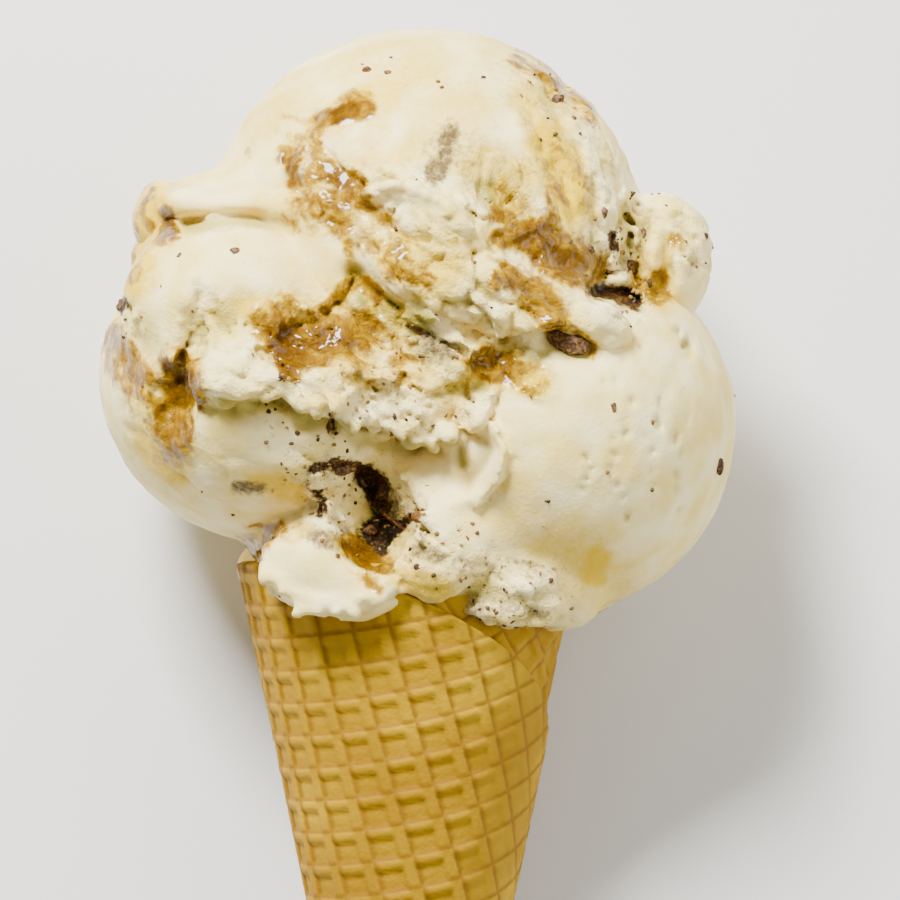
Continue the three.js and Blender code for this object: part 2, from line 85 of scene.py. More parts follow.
# The cream's lumps: name, centre x, y and z, half sizes across, deep and up, and turn in the
# picture. A front lump has x and z alone, and stands proud of the balls' front by its last value.
TOP_BALL = ("top", (2, 0, 52.9), (34.1, 34.1, 34.1), 0)
LOWER_BALLS = [
    ("left", (-19.6, 0, 32.6), (28.4, 36, 25.6), 0),
    ("right", (22, 0, 25.4), (28.4, 34, 29), 0),
    ("neck", (2.6, 0, 9.5), (27.6, 30, 16), 0),
]
UPPER_PLACED = [
    ("ledge", (-26.5, -16, 59.6), (12, 8, 4.2), 0),
    ("ledge end", (-37.3, -6, 57.2), (5.4, 10, 6.4), 0),
    ("shoulder", (-30.5, 0, 57.5), (10, 14, 7.2), 0),
    ("nugget", (38.6, -4, 50.6), (8.1, 10, 10.6), 0),
    ("back fold", (-12, 31, 53), (15, 11, 9), 20),
    ("back roll", (14, 30, 55), (14, 11.5, 9), -25),
]
UPPER_FRONT = [
    ("tongue root", (-1.6, 61.2), (5.5, 5, 4.5), -30, 2.8),
    ("tongue top", (4.7, 55), (8, 6, 6.5), -40, 4.2),
    ("tongue left", (1.6, 48.5), (8, 7, 6), -30, 4.2),
    ("tongue middle", (10.6, 46.5), (8.5, 7, 6), -35, 5.8),
    ("tongue right", (18.6, 44.4), (7, 6, 4.5), -20, 5.6),
    ("tongue tip", (27.1, 41.9), (7.5, 6, 4.2), -32, 6.2),
]
LOWER_PLACED = [
    ("back middle", (2, 13.5, 27.5), (26, 21.5, 20), 0),
    ("white lip", (-12, -23, 4), (10.5, 7, 7.4), 0),
    ("white lip hem", (-8, -25, 0.5), (7, 4.5, 4.4), 0),
    ("middle lip", (3.5, -25.5, 4), (7, 4.5, 5.6), 0),
    ("right lip", (15.4, -20.5, 0.6), (8.4, 6, 6.5), 0),
    ("right corner", (23, -11, 0.5), (7, 10, 6.6), 0),
    ("left shoulder", (-37.5, -5, 50.5), (5.6, 9, 5.6), 0),
    ("fold top", (-32, -12, 53), (8, 9, 6), 0),
    ("plug", (0, 0, -2), (20.5, 20.5, 10), 0),
]
LOWER_FRONT = [
    ("left fold", (-26.4, 44.2), (17.4, 16, 14), 0, 3.5),
    ("fold hem", (-24.8, 33.3), (10, 7, 5), 4, 4.2),
    ("torn left", (-12.4, 32.4), (7, 6, 4.6), -8, 4),
    ("torn middle", (-3.1, 30.2), (12, 7, 6.5), -12, 4.6),
    ("torn right", (4.7, 35.6), (9, 6, 5.4), -25, 4.4),
]
BACK_LIPS = {"turns": (72, 240), "count": 7, "radius": 23.5, "z": 2.5, "wave": 1.8, "size": (8, 5, 6.2)}
SEAT_Z = 36.0

# Hollows: name, x and z, half sizes, turn, and how far the centre lies behind the front
UPPER_HOLLOWS = [
    ("dark gap", (32.9, 46), (4, 6, 2.8), -20, -1),
]
LOWER_HOLLOWS = [
    ("cavity", (-5.4, 11.6), (6.5, 7.5, 8), 0, 1),
    ("caramel pocket", (-15.5, 38.6), (6, 5, 4.6), 10, -3),
    ("left pocket", (-36.4, 29.5), (4, 4.5, 6), 10, -1),
]
BLEND = 2.6

# How far from the lumps' joined surface the relief can move it, and the distance written where
# nothing is near
BAND = 3.4
FAR = 30.0


def placed(lump):
    """A lump's centre, size and turn, as the grid's methods take them."""
    name, at, size, turn = lump
    return np.array(at, float), np.array(size, float), math.radians(turn)


class Field:
    """A grid of signed distances over a box of the upright frame."""

    def __init__(self, low, high, voxel):
        self.voxel = voxel
        self.low = np.array(low, float)
        counts = np.ceil((np.array(high) - self.low) / voxel).astype(int) + 1
        self.axes = [(lo + voxel * np.arange(n)).astype(np.float32) for lo, n in zip(low, counts)]
        self.values = np.full(counts, FAR, np.float32)

    def window(self, centre, reach):
        """The slices of the grid within a reach of a point."""
        return tuple(
            slice(max(0, int((c - r - lo) / self.voxel)), max(1, int((c + r - lo) / self.voxel) + 2))
            for c, r, lo in zip(centre, reach, self.low)
        )

    def distance(self, centre, size, turn, window):
        """Signed distance, near enough, to an ellipsoid turned about the y axis."""
        x, y, z = (a[w] for a, w in zip(self.axes, window))
        dx = (x - centre[0])[:, None]
        dz = (z - centre[2])[None, :]
        px = (math.cos(turn) * dx + math.sin(turn) * dz) / size[0]
        pz = (math.cos(turn) * dz - math.sin(turn) * dx) / size[2]
        py = (y - centre[1]) / size[1]
        inner = np.sqrt((px**2 + pz**2)[:, None, :] + (py**2)[None, :, None])
        slope = ((px / size[0]) ** 2 + (pz / size[2]) ** 2)[:, None, :]
        slope = np.sqrt(slope + ((py / size[1]) ** 2)[None, :, None]) + 1e-6
        return (inner * (inner - 1) / slope).astype(np.float32)

    def join(self, centre, size, turn=0.0, blend=BLEND, margin=7.0):
        """Adds an ellipsoid, with a fillet where it meets what is there."""
        window = self.window(centre, np.full(3, max(size)) + margin)
        lump = self.distance(centre, size, turn, window)
        self.values[window] = smooth_min(self.values[window], lump, blend)

    def carve(self, centre, size, turn=0.0, blend=BLEND):
        """Takes an ellipsoid away, with a rounded edge."""
        window = self.window(centre, np.full(3, max(size)) + blend + 1)
        hollow = self.distance(centre, size, turn, window)
        self.values[window] = -smooth_min(-self.values[window], hollow, blend)

    def front(self, x, z):
        """The y of the field's front at (x, z)."""
        i = int(np.clip(round((x - self.low[0]) / self.voxel), 0, self.values.shape[0] - 1))
        k = int(np.clip(round((z - self.low[2]) / self.voxel), 0, self.values.shape[2] - 1))
        inside = self.values[i, :, k] < 0
        return float(self.axes[1][np.argmax(inside)]) if inside.any() else 0.0

    def band(self, reach):
        """The indices and points of the grid that lie near the surface."""
        index = np.nonzero(np.abs(self.values) < reach)
        return index, np.stack([a[i] for a, i in zip(self.axes, index)], axis=1)


def smooth_min(a, b, k):
    """The lesser of two distances, rounded off where they are within k of each other."""
    h = np.maximum(k - np.abs(a - b), 0) / k
    return np.minimum(a, b) - h * h * (k / 4)


def ball_distance(x, y, z):
    """The least distance from a point to the balls that the scoops were formed as."""
    distances = []
    for name, at, size, turn in [TOP_BALL, *LOWER_BALLS]:
        p = [(v - c) / s for v, c, s in zip((x, y, z), at, size)]
        inner = math.hypot(*p)
        slope = math.hypot(*[v / s for v, s in zip(p, size)]) or 1.0
        distances.append(inner * (inner - 1) / slope)
    return min(distances)


def balls_front(x, z):
    """The y at which a line of sight from the viewer meets the balls."""
    y = -70.0
    for _ in range(120):
        y += 0.8 * ball_distance(x, y, z)
    return y


def noise(points, size, seed):
    """Smooth value noise from -1 to 1, with one random value at each corner of a lattice."""
    q = points / np.float32(size) + np.float32(17.31 * seed)
    base = np.floor(q).astype(np.int64)
    f = (q - base).astype(np.float32)
    f = f * f * (3 - 2 * f)
    total = np.zeros(len(points), np.float32)
    for corner in range(8):
        offset = np.array([corner & 1, corner >> 1 & 1, corner >> 2 & 1])
        n = base + offset
        h = n[:, 0] * 73856093 ^ n[:, 1] * 19349663 ^ n[:, 2] * 83492791 ^ seed * 2654435761
        h = (h ^ h >> 13) * 1274126177 & 0x7FFFFFFF
        h = h ^ h >> 16
        weight = np.prod(np.where(offset, f, 1 - f), axis=1)
        total += weight * ((h & 0xFFFF) / np.float32(32767.5) - 1)
    return total


# The photograph's scale on the plane through the cone's axis, and the rim's centre in it
PIXEL = 0.155
RIM_PIXEL = (410, 590)

# About where the cream's front lies, before its exact depth at a place is known
FRONT_Y = -32

# Places in the photograph, in pixels of its 900 by 900 frame. Each mark has its line, its half
# width in millimetres and its strength.
CARAMEL_MARKS = {
    "streak by the crown": ([(320, 125), (345, 113), (362, 102)], 1.5, 1.0),
    "dot by the streak": ([(320, 150), (318, 158)], 1.3, 0.9),
    "pool left of the dome": ([(286, 158), (293, 172), (297, 184)], 1.9, 1.0),
    "band over the tongue's root": ([(330, 173), (350, 187), (340, 197), (323, 200)], 2.4, 1.0),
    "ring on the tongue": ([(363, 200)], 1.6, 0.9),
    "drop beside the ring": ([(323, 217)], 1.2, 0.8),
    "wash across the tongue": ([(303, 205), (345, 212), (373, 225)], 3.4, 0.75),
    "wash down the tongue": ([(365, 222), (388, 248), (423, 280)], 3.4, 0.7),
    "left of the dome": ([(318, 125), (303, 150), (305, 175)], 2.2, 0.7),
    "veil on the tongue": ([(400, 215), (440, 235), (480, 270)], 4.0, 0.32),
    "veil below the pocket": ([(330, 360), (380, 385), (410, 400)], 3.6, 0.42),
    "spread from the pocket": ([(350, 300), (385, 330), (400, 350)], 3.4, 0.5),
    "crown's right band": ([(500, 190), (520, 210), (545, 220)], 2.2, 0.5),
    "right of the dome": ([(560, 150), (580, 180), (590, 205)], 2.4, 0.3),
    "top right rim": ([(520, 55), (560, 80), (590, 105)], 2.2, 0.55),
    "side of the left lobe": ([(112, 340), (130, 380), (150, 410)], 2.6, 0.7),
    "left flank": ([(140, 245), (132, 275)], 1.6, 0.45),
    "under the gap": ([(640, 285), (660, 292)], 1.8, 0.8),
    "nugget's brown": ([(672, 245), (682, 250)], 1.4, 0.6),
    "veil on the neck": ([(250, 540), (300, 535)], 2.2, 0.4),
    "end of the ledge": ([(169, 214), (172, 230), (160, 244)], 1.7, 1.0),
    "ledge's outer edge": ([(152, 186), (143, 205), (143, 230)], 1.3, 0.6),
    "crevice by the tongue": ([(362, 286), (378, 302)], 1.1, 0.8),
    "edge above the crevice": ([(352, 240), (356, 272)], 1.0, 0.7),
    "edge of the left fold": ([(350, 283), (338, 298), (327, 310)], 1.3, 0.95),
    "pool in the pocket": ([(284, 328), (300, 346), (330, 334), (362, 330)], 4.2, 1.0),
    "tip of the pool": ([(287, 350), (293, 372)], 2.0, 1.0),
    "crumbs below the pool": ([(357, 360), (368, 380)], 1.6, 0.6),
    "smear on the left lobe": ([(110, 337), (128, 358), (147, 377)], 2.2, 1.0),
    "patch in the left gap": ([(180, 372), (184, 394), (170, 414), (174, 436)], 3.3, 1.0),
    "run beside the patch": ([(153, 408), (160, 424), (170, 435)], 1.4, 0.9),
    "streak over the lip": ([(280, 530), (262, 542), (247, 550)], 1.4, 0.75),
    "pool in the cavity": ([(350, 548), (363, 557), (376, 562)], 2.4, 1.0),
    "line below the cavity": ([(357, 562), (377, 583)], 1.1, 0.7),
    "crown's right pool": ([(494, 212), (510, 214)], 1.8, 0.8),
    "tongue's upper pool": ([(503, 238), (525, 234), (547, 220)], 2.2, 0.95),
    "tongue's right pool": ([(538, 244), (560, 257), (582, 270)], 3.4, 1.0),
    "streaks on the tongue": ([(503, 277), (530, 292), (558, 318)], 2.8, 0.8),
    "pool under the tongue": ([(480, 363), (502, 362), (528, 378)], 3.0, 0.8),
    "pocket in the nugget": ([(658, 279), (658, 295)], 1.7, 1.0),
    "line over the chunk": ([(550, 327), (573, 330), (597, 350)], 0.9, 0.8),
    "band on the dome's right": ([(550, 153), (556, 180), (557, 207)], 1.9, 0.5),
    "band at the top right": ([(548, 76), (564, 86)], 1.5, 0.62),
}
DEEP_MARKS = {
    "streak by the crown": ([(334, 118), (352, 108)], 1.2, 0.8),
    "pool left of the dome": ([(290, 168), (293, 178)], 1.5, 1.0),
    "band": ([(334, 178), (346, 188)], 1.3, 0.5),
    "end of the ledge": ([(163, 222), (170, 232)], 1.7, 0.8),
    "pool in the pocket": ([(284, 338), (290, 360)], 2.8, 1.0),
    "pool's right": ([(320, 345), (345, 340)], 1.8, 0.6),
    "patch in the left gap": ([(184, 384), (180, 400)], 2.4, 0.5),
    "pool in the cavity": ([(356, 552), (370, 560)], 1.8, 0.9),
    "tongue's upper pool": ([(520, 238), (538, 228)], 1.2, 0.6),
    "tongue's right pool": ([(548, 250), (570, 266)], 2.0, 0.7),
    "streaks": ([(510, 282), (525, 292)], 1.1, 0.6),
    "under the tongue": ([(478, 364), (492, 362)], 1.3, 0.7),
}
YELLOW_MARKS = {
    "left fold": ([(250, 305), (264, 309)], 3.0, 0.8),
    "tongue": ([(398, 255), (440, 268)], 4.0, 0.7),
    "crown": ([(480, 165), (515, 180)], 4.5, 0.7),
    "dome's right": ([(545, 140), (562, 165), (570, 205)], 3.6, 1.0),
    "streaks on the neck": ([(255, 480), (297, 493)], 2.0, 0.8),
    "left lobe": ([(120, 350), (150, 400)], 4.0, 0.5),
    "left flank": ([(150, 200), (142, 230), (134, 280)], 3.4, 0.9),
    "under the left patch": ([(146, 443), (175, 470)], 3.2, 0.8),
    "round the pool": ([(290, 320), (360, 350)], 6.0, 0.6),
    "lump under the tongue": ([(505, 372), (532, 380)], 2.8, 1.2),
    "crumb in the left run": ([(180, 427)], 1.2, 0.8),
    "right lobe's foot": ([(560, 545), (610, 590)], 6.0, 0.6),
    "patch on the right lobe": ([(597, 556), (594, 578)], 2.6, 1.0),
    "dome": ([(380, 60), (470, 110)], 6.0, 0.5),
    "dome's left": ([(262, 125), (300, 90)], 4.0, 0.5),
    "middle of the left fold": ([(200, 240), (300, 250)], 5.0, 0.3),
    "below the arc": ([(480, 480), (540, 520)], 6.0, 0.3),
    # Painted shade: a faint yellow under the torn middle's overhang
    "under the torn middle": ([(230, 430), (300, 450)], 5.0, 0.12),
    "ledge": ([(200, 206), (285, 205)], 2.6, 0.35),
    "torn middle": ([(410, 370), (450, 400)], 3.0, 0.6),
    "lip": ([(400, 575), (440, 590)], 2.6, 0.8),
    "neck": ([(380, 520), (420, 590)], 4.0, 0.5),
    "nugget's foot": ([(655, 262), (660, 300)], 3.0, 0.7),
    "nugget": ([(640, 205), (700, 225)], 3.0, 0.15),
    "streaks on the dome": ([(395, 88), (372, 132), (365, 165)], 2.6, 0.55),
    "second on the dome": ([(430, 100), (408, 150), (400, 172)], 2.2, 0.4),
    "crown's left": ([(468, 95), (460, 130)], 2.4, 0.45),
    "right of the crown": ([(520, 100), (548, 150)], 2.6, 0.6),
    "top left": ([(300, 100), (340, 75)], 4.0, 0.3),
    "top right": ([(500, 55), (560, 90)], 4.0, 0.5),
    "streak by the crown": ([(315, 130), (365, 100)], 3.0, 0.7),
}
# Green-brown marks: mostly painted shade in crevices, grooves, pits and under overhangs, and at the
# crown and its pool the cream's own grey-green tint
OLIVE_SHADE_AND_STAIN_MARKS = {
    "crown's pool": ([(495, 192), (512, 205)], 3.0, 0.9),
    "crown": ([(470, 160), (520, 185)], 4.0, 0.5),
    "crevice by the tongue": ([(360, 284), (376, 300), (400, 316), (424, 322)], 2.2, 1.1),
    "junction": ([(357, 277)], 1.6, 1.0),
    "tongue": ([(400, 253), (450, 253)], 2.5, 0.3),
    "groove by the left fold": ([(352, 285), (340, 300)], 1.4, 0.8),
    "under the torn middle": ([(345, 440), (400, 455), (450, 460)], 3.0, 0.12),
    "under the pocket": ([(395, 335), (430, 350)], 2.4, 0.6),
    "beside the chunk": ([(520, 345), (545, 355)], 2.0, 0.4),
    "below the chunk": ([(520, 385), (470, 385)], 2.6, 0.45),
    "right of the tongue": ([(590, 330), (605, 345)], 1.6, 0.2),
    "top right slit": ([(553, 95), (560, 110)], 1.0, 0.6),
    "left lobe's grooves": ([(195, 320), (192, 380)], 2.0, 0.35),
    "under the ledge": ([(190, 224), (262, 221), (292, 226)], 1.4, 0.6),
    "under the left fold": ([(200, 404), (260, 412), (323, 455)], 2.6, 0.12),
    "gap above the arc": ([(463, 382), (440, 395)], 1.4, 0.6),
    "oval pit": ([(462, 450), (463, 464)], 1.3, 0.45),
    "cavity": ([(390, 520), (360, 545)], 3.0, 0.7),
    "lip's foot": ([(402, 590), (440, 600)], 2.0, 0.4),
}
LILAC_MARKS = {
    "smear beside the crown": ([(450, 132), (444, 155), (434, 178)], 1.7, 1.1),
    "fleck on the dome": ([(250, 147), (250, 154)], 0.7, 0.8),
    "smear on the neck": ([(238, 488), (256, 489)], 1.4, 1.15),
    "fleck on the left fold": ([(252, 357)], 0.9, 0.8),
    "band on the lip": ([(440, 560), (465, 566), (492, 570)], 1.3, 0.6),
    "thin line": ([(510, 562), (540, 566)], 0.7, 0.8),
    "second band": ([(470, 608), (505, 606), (540, 612)], 1.6, 0.75),
    "lower band's right": ([(530, 575), (552, 580)], 1.8, 0.6),
    "shade by the crown": ([(425, 150), (440, 140)], 1.6, 0.6),
    "cavity's left": ([(318, 470), (345, 470)], 2.0, 0.6),
    "cavity's right": ([(400, 545), (425, 520)], 2.2, 0.4),
    "nugget": ([(660, 220), (690, 215)], 1.6, 0.4),
    "beside the gap": ([(625, 262), (634, 275)], 1.8, 0.7),
    "cluster": ([(418, 333), (430, 345), (445, 352)], 2.0, 1.0),
    "crown's left side": ([(462, 150), (472, 185)], 1.6, 0.55),
    "smudge on the white lip": ([(314, 534), (330, 541), (347, 538)], 1.7, 1.0),
    "above the lower band": ([(418, 548), (436, 556)], 1.5, 0.9),
    "cavity's foot": ([(392, 500), (404, 512)], 1.6, 0.7),
    "crown's right side": ([(532, 165), (520, 188)], 1.5, 0.5),
    "below the crown": ([(552, 232), (575, 244)], 1.8, 0.6),
    "dome's right edge": ([(585, 165), (602, 190)], 1.4, 0.45),
    "nugget's left": ([(646, 222), (640, 250)], 1.1, 0.7),
    "nugget's foot": ([(676, 262), (690, 258)], 1.2, 0.5),
    "top of the dome": ([(372, 58), (400, 54)], 1.2, 0.35),
    "right of the top": ([(500, 66), (524, 78)], 1.4, 0.4),
}
DARK_MARKS = {
    "black cavity": ([(366, 476), (376, 488), (381, 503)], 1.9, 1.0),
    "rim of the cavity": ([(310, 470), (330, 466), (357, 468)], 1.2, 0.75),
    "shard's edge": ([(386, 540), (402, 527), (420, 514)], 0.8, 0.9),
    "cavity's foot": ([(366, 530), (374, 540)], 1.3, 0.8),
    "gap under the dome": ([(596, 291), (614, 291), (636, 303)], 1.5, 1.0),
    "lash beside the gap": ([(614, 232), (616, 250)], 0.7, 0.8),
    "slit on the lip": ([(331, 414), (332, 432)], 0.35, 1.0),
    "left slit": ([(118, 298), (122, 308)], 0.9, 0.9),
    "slits left of the cavity": ([(316, 494), (324, 500), (322, 514)], 0.7, 0.8),
    "cavity's lower part": ([(382, 508), (389, 530)], 1.5, 0.85),
    "above the pool": ([(372, 526), (380, 546)], 1.3, 0.85),
}

# Where fine cookie crumbs are strewn, in the same way
STREWN_MARKS = {
    "under the hem": ([(285, 405), (300, 425), (320, 440)], 4.0, 1.0),
    "cluster": ([(412, 335), (445, 350)], 4.0, 1.0),
    "lower band": ([(410, 520), (450, 560), (500, 575)], 5.5, 1.0),
    "lower band's right": ([(530, 565), (560, 590)], 3.5, 0.9),
    "lip": ([(465, 605), (545, 612)], 2.4, 1.0),
    "top right": ([(535, 90), (575, 140)], 2.6, 0.35),
    "crown": ([(370, 75), (485, 80)], 1.6, 0.3),
    "nugget": ([(640, 215), (705, 245)], 3.5, 0.6),
    "by the gap": ([(600, 235), (625, 270), (640, 300)], 3.0, 1.0),
    "pocket's crumbs": ([(345, 345), (400, 395)], 3.5, 0.9),
    "cavity": ([(312, 475), (345, 520)], 5.0, 1.0),
    "middle": ([(365, 395), (395, 430)], 4.0, 0.8),
    "left lobe": ([(115, 305), (135, 325)], 2.5, 0.8),
}
MARKS = {
    "caramel": CARAMEL_MARKS,
    "deep": DEEP_MARKS,
    "yellow": YELLOW_MARKS,
    "olive_shade_and_stain": OLIVE_SHADE_AND_STAIN_MARKS,
    "lilac": LILAC_MARKS,
    "dark": DARK_MARKS,
}

# Where the cream was torn rather than wiped smooth: a line, its reach and how rough it is
TORN = {
    "pocket": ([(300, 345), (350, 345)], 9, 0.8),
    "left fold's foot": ([(215, 365), (280, 375)], 7, 0.75),
    "middle": ([(360, 385), (450, 395)], 8, 1.0),
    "below the tongue": ([(400, 330), (470, 370)], 8, 0.95),
    "tongue": ([(430, 260), (500, 330)], 8, 0.9),
    "tongue's root": ([(330, 200), (400, 235)], 6, 0.6),
    "under the tongue": ([(500, 365), (530, 380)], 5, 0.8),
    "tongue's right": ([(530, 275), (590, 320)], 6, 0.5),
    "crown": ([(440, 150), (500, 190)], 7, 0.5),
    "dome's right": ([(550, 100), (590, 180)], 7, 0.5),
    "beside the nugget": ([(610, 230), (630, 290)], 6, 0.7),
    "nugget": ([(650, 210), (695, 250)], 6, 0.45),
    "dome's far right": ([(575, 110), (612, 190)], 5, 0.35),
    "left fold's low": ([(200, 325), (255, 345), (290, 360)], 7, 0.6),
    "crown's band": ([(480, 200), (540, 225)], 5, 0.7),
    "dome's left band": ([(330, 165), (365, 180)], 6, 0.7),
    "left lobe": ([(120, 330), (150, 410)], 5, 0.3),
    "under the left patch": ([(170, 450), (230, 480)], 5, 0.25),
    "cavity's left": ([(315, 475), (350, 520)], 6, 0.8),
    "cavity": ([(370, 490), (400, 540)], 7, 0.9),
    "neck": ([(420, 560), (480, 580)], 6, 0.5),
    "right lip": ([(470, 605), (545, 612)], 5, 0.6),
    "left patch": ([(180, 380), (170, 430)], 4, 0.5),
    "dome's left": ([(300, 130), (320, 170)], 5, 0.45),
}

# Ridges and, where the height is below 0, grooves: a line, half width and height in millimetres
FORMS = {
    "groove above the ledge": ([(173, 186), (217, 191), (257, 184), (290, 188)], 1.3, -0.9),
    "ledge": ([(185, 205), (235, 206), (285, 203)], 3.0, 0.8),
    "groove below the ledge": ([(186, 226), (223, 221), (262, 221), (292, 224)], 1.3, -1.3),
    "ridge down the left lobe": ([(193, 276), (179, 305), (168, 340), (163, 376)], 1.5, 1.1),
    "first groove": ([(192, 300), (184, 335), (180, 378)], 1.0, -0.6),
    "second groove": ([(200, 315), (195, 350), (195, 385)], 0.8, -0.55),
    "third groove": ([(207, 330), (204, 360), (206, 385)], 0.7, -0.3),
    "edge of the left fold": ([(352, 268), (345, 288), (330, 308), (300, 322)], 1.5, -0.9),
    "junction": ([(357, 277)], 1.6, -1.5),
    "crevice by the tongue": ([(360, 282), (376, 298), (396, 308)], 1.7, -1.5),
    "step under the left fold": ([(210, 408), (246, 412), (275, 398), (305, 424)], 1.4, -1.1),
    "step under the middle": ([(305, 424), (336, 426), (357, 441), (392, 447), (440, 452)], 1.4, -1.1),
    "gap above the ledge": ([(450, 388), (465, 382), (480, 384)], 1.1, -1.3),
    "arc fold": ([(500, 430), (506, 447), (500, 466), (484, 484), (460, 503)], 1.5, 0.9),
    "inside the arc fold": ([(488, 436), (492, 450), (485, 466), (470, 482)], 1.5, -0.8),
    "oval pit": ([(462, 451), (463, 463)], 1.0, -1.1),
    "groove right of the lobe": ([(690, 335), (686, 356)], 0.9, -0.4),
    "top of the white lip": ([(285, 530), (305, 517), (323, 512), (350, 528)], 1.6, 0.7),
    "above the white lip": ([(262, 528), (290, 515), (318, 502)], 1.5, -0.9),
    "below the pool's lip": ([(262, 545), (290, 548)], 1.4, 0.5),
    "slit on the lip": ([(331, 413), (332, 433)], 0.7, -1.6),
    "black cavity": ([(368, 478), (376, 490), (378, 505)], 1.7, -2.6),
    "gap under the dome": ([(597, 291), (615, 292), (636, 303)], 1.3, -2.4),
    "glossy pocket": ([(658, 279), (658, 295)], 1.2, -1.6),
    "dome's foot on the left": ([(292, 150), (288, 175), (300, 195)], 1.5, -1.0),
    "dome's foot on the right": ([(590, 215), (600, 250), (606, 280)], 1.4, -0.9),
    "nugget's left side": ([(640, 205), (634, 240), (640, 270)], 1.3, -0.8),
    "neck's crease": ([(400, 592), (440, 606), (468, 600)], 1.2, -0.9),
    "crease over the right lip": ([(470, 592), (510, 598), (560, 596)], 1.2, -0.6),
    "left gap": ([(176, 372), (186, 395), (172, 420)], 2.2, -0.7),
    "white ledge": ([(440, 402), (462, 408), (482, 418)], 1.6, 0.8),
    "nugget's first groove": ([(624, 205), (628, 240), (622, 262)], 0.9, -1.2),
    "nugget's second groove": ([(645, 225), (640, 255), (637, 285)], 0.9, -1.4),
    "nugget's third groove": ([(670, 238), (665, 262), (669, 288)], 1.0, -1.2),
    "nugget's brow": ([(648, 214), (672, 220), (693, 240)], 0.9, -0.9),
    "nugget's rim": ([(660, 203), (690, 214), (704, 236)], 1.5, 0.6),
    "drip beside the gap": ([(650, 250), (652, 282)], 1.3, 0.8),
    "first ridge at the right": ([(548, 95), (578, 150), (598, 205)], 0.9, -0.8),
    "second ridge at the right": ([(562, 86), (597, 132), (620, 190)], 0.9, -0.7),
    "third ridge at the right": ([(528, 112), (556, 165), (574, 215)], 0.9, -0.7),
    "bulge at the top right": ([(586, 112), (610, 158)], 2.2, 0.8),
    "crown's bowl": ([(492, 190), (503, 200)], 1.8, -1.1),
    "crown's rim": ([(484, 212), (508, 240), (540, 226)], 0.7, 0.7),
    "pool's rim on the right": ([(536, 238), (548, 270), (580, 280)], 0.7, 0.7),
    "fold down the crown": ([(520, 120), (535, 165), (545, 205)], 1.0, 0.7),
    "above the chunk": ([(512, 330), (550, 326), (585, 334), (602, 350)], 1.3, 0.8),
    "chunk's eye": ([(552, 345), (588, 350)], 2.0, -1.2),
}

# Torn layers with an overhanging edge: the edge, read so that the layer lies to its left, how far
# back the layer slopes away, and its height at the edge
LAYERS = {
    "left fold's hem": ([(205, 390), (228, 400), (252, 399), (278, 385)], 5.0, 1.5),
    "pool's rim": ([(278, 385), (287, 401), (308, 412), (338, 411)], 3.0, 1.4),
    "middle": ([(338, 411), (356, 427), (378, 420), (394, 434), (420, 441), (448, 437)], 4.0, 1.6),
    "ledge": ([(448, 437), (470, 428), (486, 415), (497, 398)], 3.5, 1.5),
    "upper middle": ([(352, 372), (380, 384), (405, 376), (428, 392), (452, 384)], 2.6, 1.2),
    "tongue's lower edge": ([(404, 318), (424, 328), (446, 340), (472, 352)], 3.4, 1.3),
    "tongue's tip": ([(476, 356), (496, 344), (510, 322), (528, 330), (556, 326)], 3.0, 1.2),
    "tongue's upper edge": ([(470, 222), (448, 198), (420, 186), (392, 181), (366, 190)], 3.2, 1.3),
    "arc fold": ([(480, 505), (500, 484), (509, 462), (506, 444), (497, 428)], 2.6, 1.1),
    "white lip": (
        [(262, 578), (284, 593), (302, 607), (324, 612), (350, 611), (374, 601), (396, 594)],
        3.4,
        1.2,
    ),
    "lip's right": ([(404, 592), (430, 604), (462, 612), (500, 620), (547, 626)], 2.2, 0.8),
    "left ribbon": ([(180, 380), (178, 355), (186, 325), (196, 300)], 2.4, 0.7),
    "pocket's top": ([(280, 332), (300, 322), (330, 308), (350, 284)], 3.0, 0.8),
}

# Small dents in arcs, where the scoop chattered: a line, and how many dents there are on it
CHATTER = {
    "right lobe's first arc": ([(596, 440), (585, 470), (583, 500)], 5),
    "right lobe's second arc": ([(635, 395), (614, 455), (625, 522)], 9),
    "right lobe's third arc": ([(664, 390), (650, 440), (654, 510)], 8),
    "right lobe's fourth arc": ([(686, 410), (676, 460), (680, 520)], 6),
    "right lobe's upper arc": ([(640, 340), (600, 390)], 4),
    "right lobe's fifth arc": ([(672, 330), (690, 352)], 4),
    "dome's left": ([(262, 110), (280, 140), (276, 170)], 4),
    "left lobe": ([(130, 300), (140, 330), (136, 360)], 4),
}

# Ragged edges, hung with small torn lumps: a line, the lumps' mean radius, and their spacing
HEMS = {
    "left fold": ([(205, 392), (230, 399), (250, 398), (277, 384)], 1.1, 1.3),
    "pool's rim": ([(277, 384), (286, 400), (306, 411), (337, 412)], 1.1, 1.2),
    "middle": ([(337, 412), (357, 427), (377, 421), (392, 433), (420, 440), (446, 438)], 1.3, 1.3),
    "ledge": ([(446, 438), (470, 428), (482, 417)], 1.2, 1.3),
    "tongue's lower edge": ([(430, 300), (446, 330), (470, 345)], 1.0, 1.5),
    "tongue's upper edge": ([(378, 184), (402, 184), (430, 192), (456, 214)], 1.0, 1.6),
    "white lip": (
        [(262, 578), (284, 592), (300, 606), (322, 612), (350, 612), (372, 600), (393, 594)],
        1.0,
        1.5,
    ),
    "right lip": ([(462, 616), (500, 624), (547, 628)], 0.9, 1.8),
    "cavity's left": ([(312, 468), (322, 492), (330, 515)], 1.1, 1.4),
    "cavity's right": ([(396, 475), (408, 500), (424, 520)], 1.0, 1.6),
}


def seen(points):
    """Where points show in the photograph, in pixels."""
    nearness = CAMERA_AWAY / (CAMERA_AWAY + points[:, 1])
    across = LOOK_AT[0] + (points[:, 0] - LOOK_AT[0]) * nearness
    up = LOOK_AT[1] + (points[:, 2] - LOOK_AT[1]) * nearness
    return np.stack([RIM_PIXEL[0] + across / PIXEL, RIM_PIXEL[1] - up / PIXEL], axis=1)


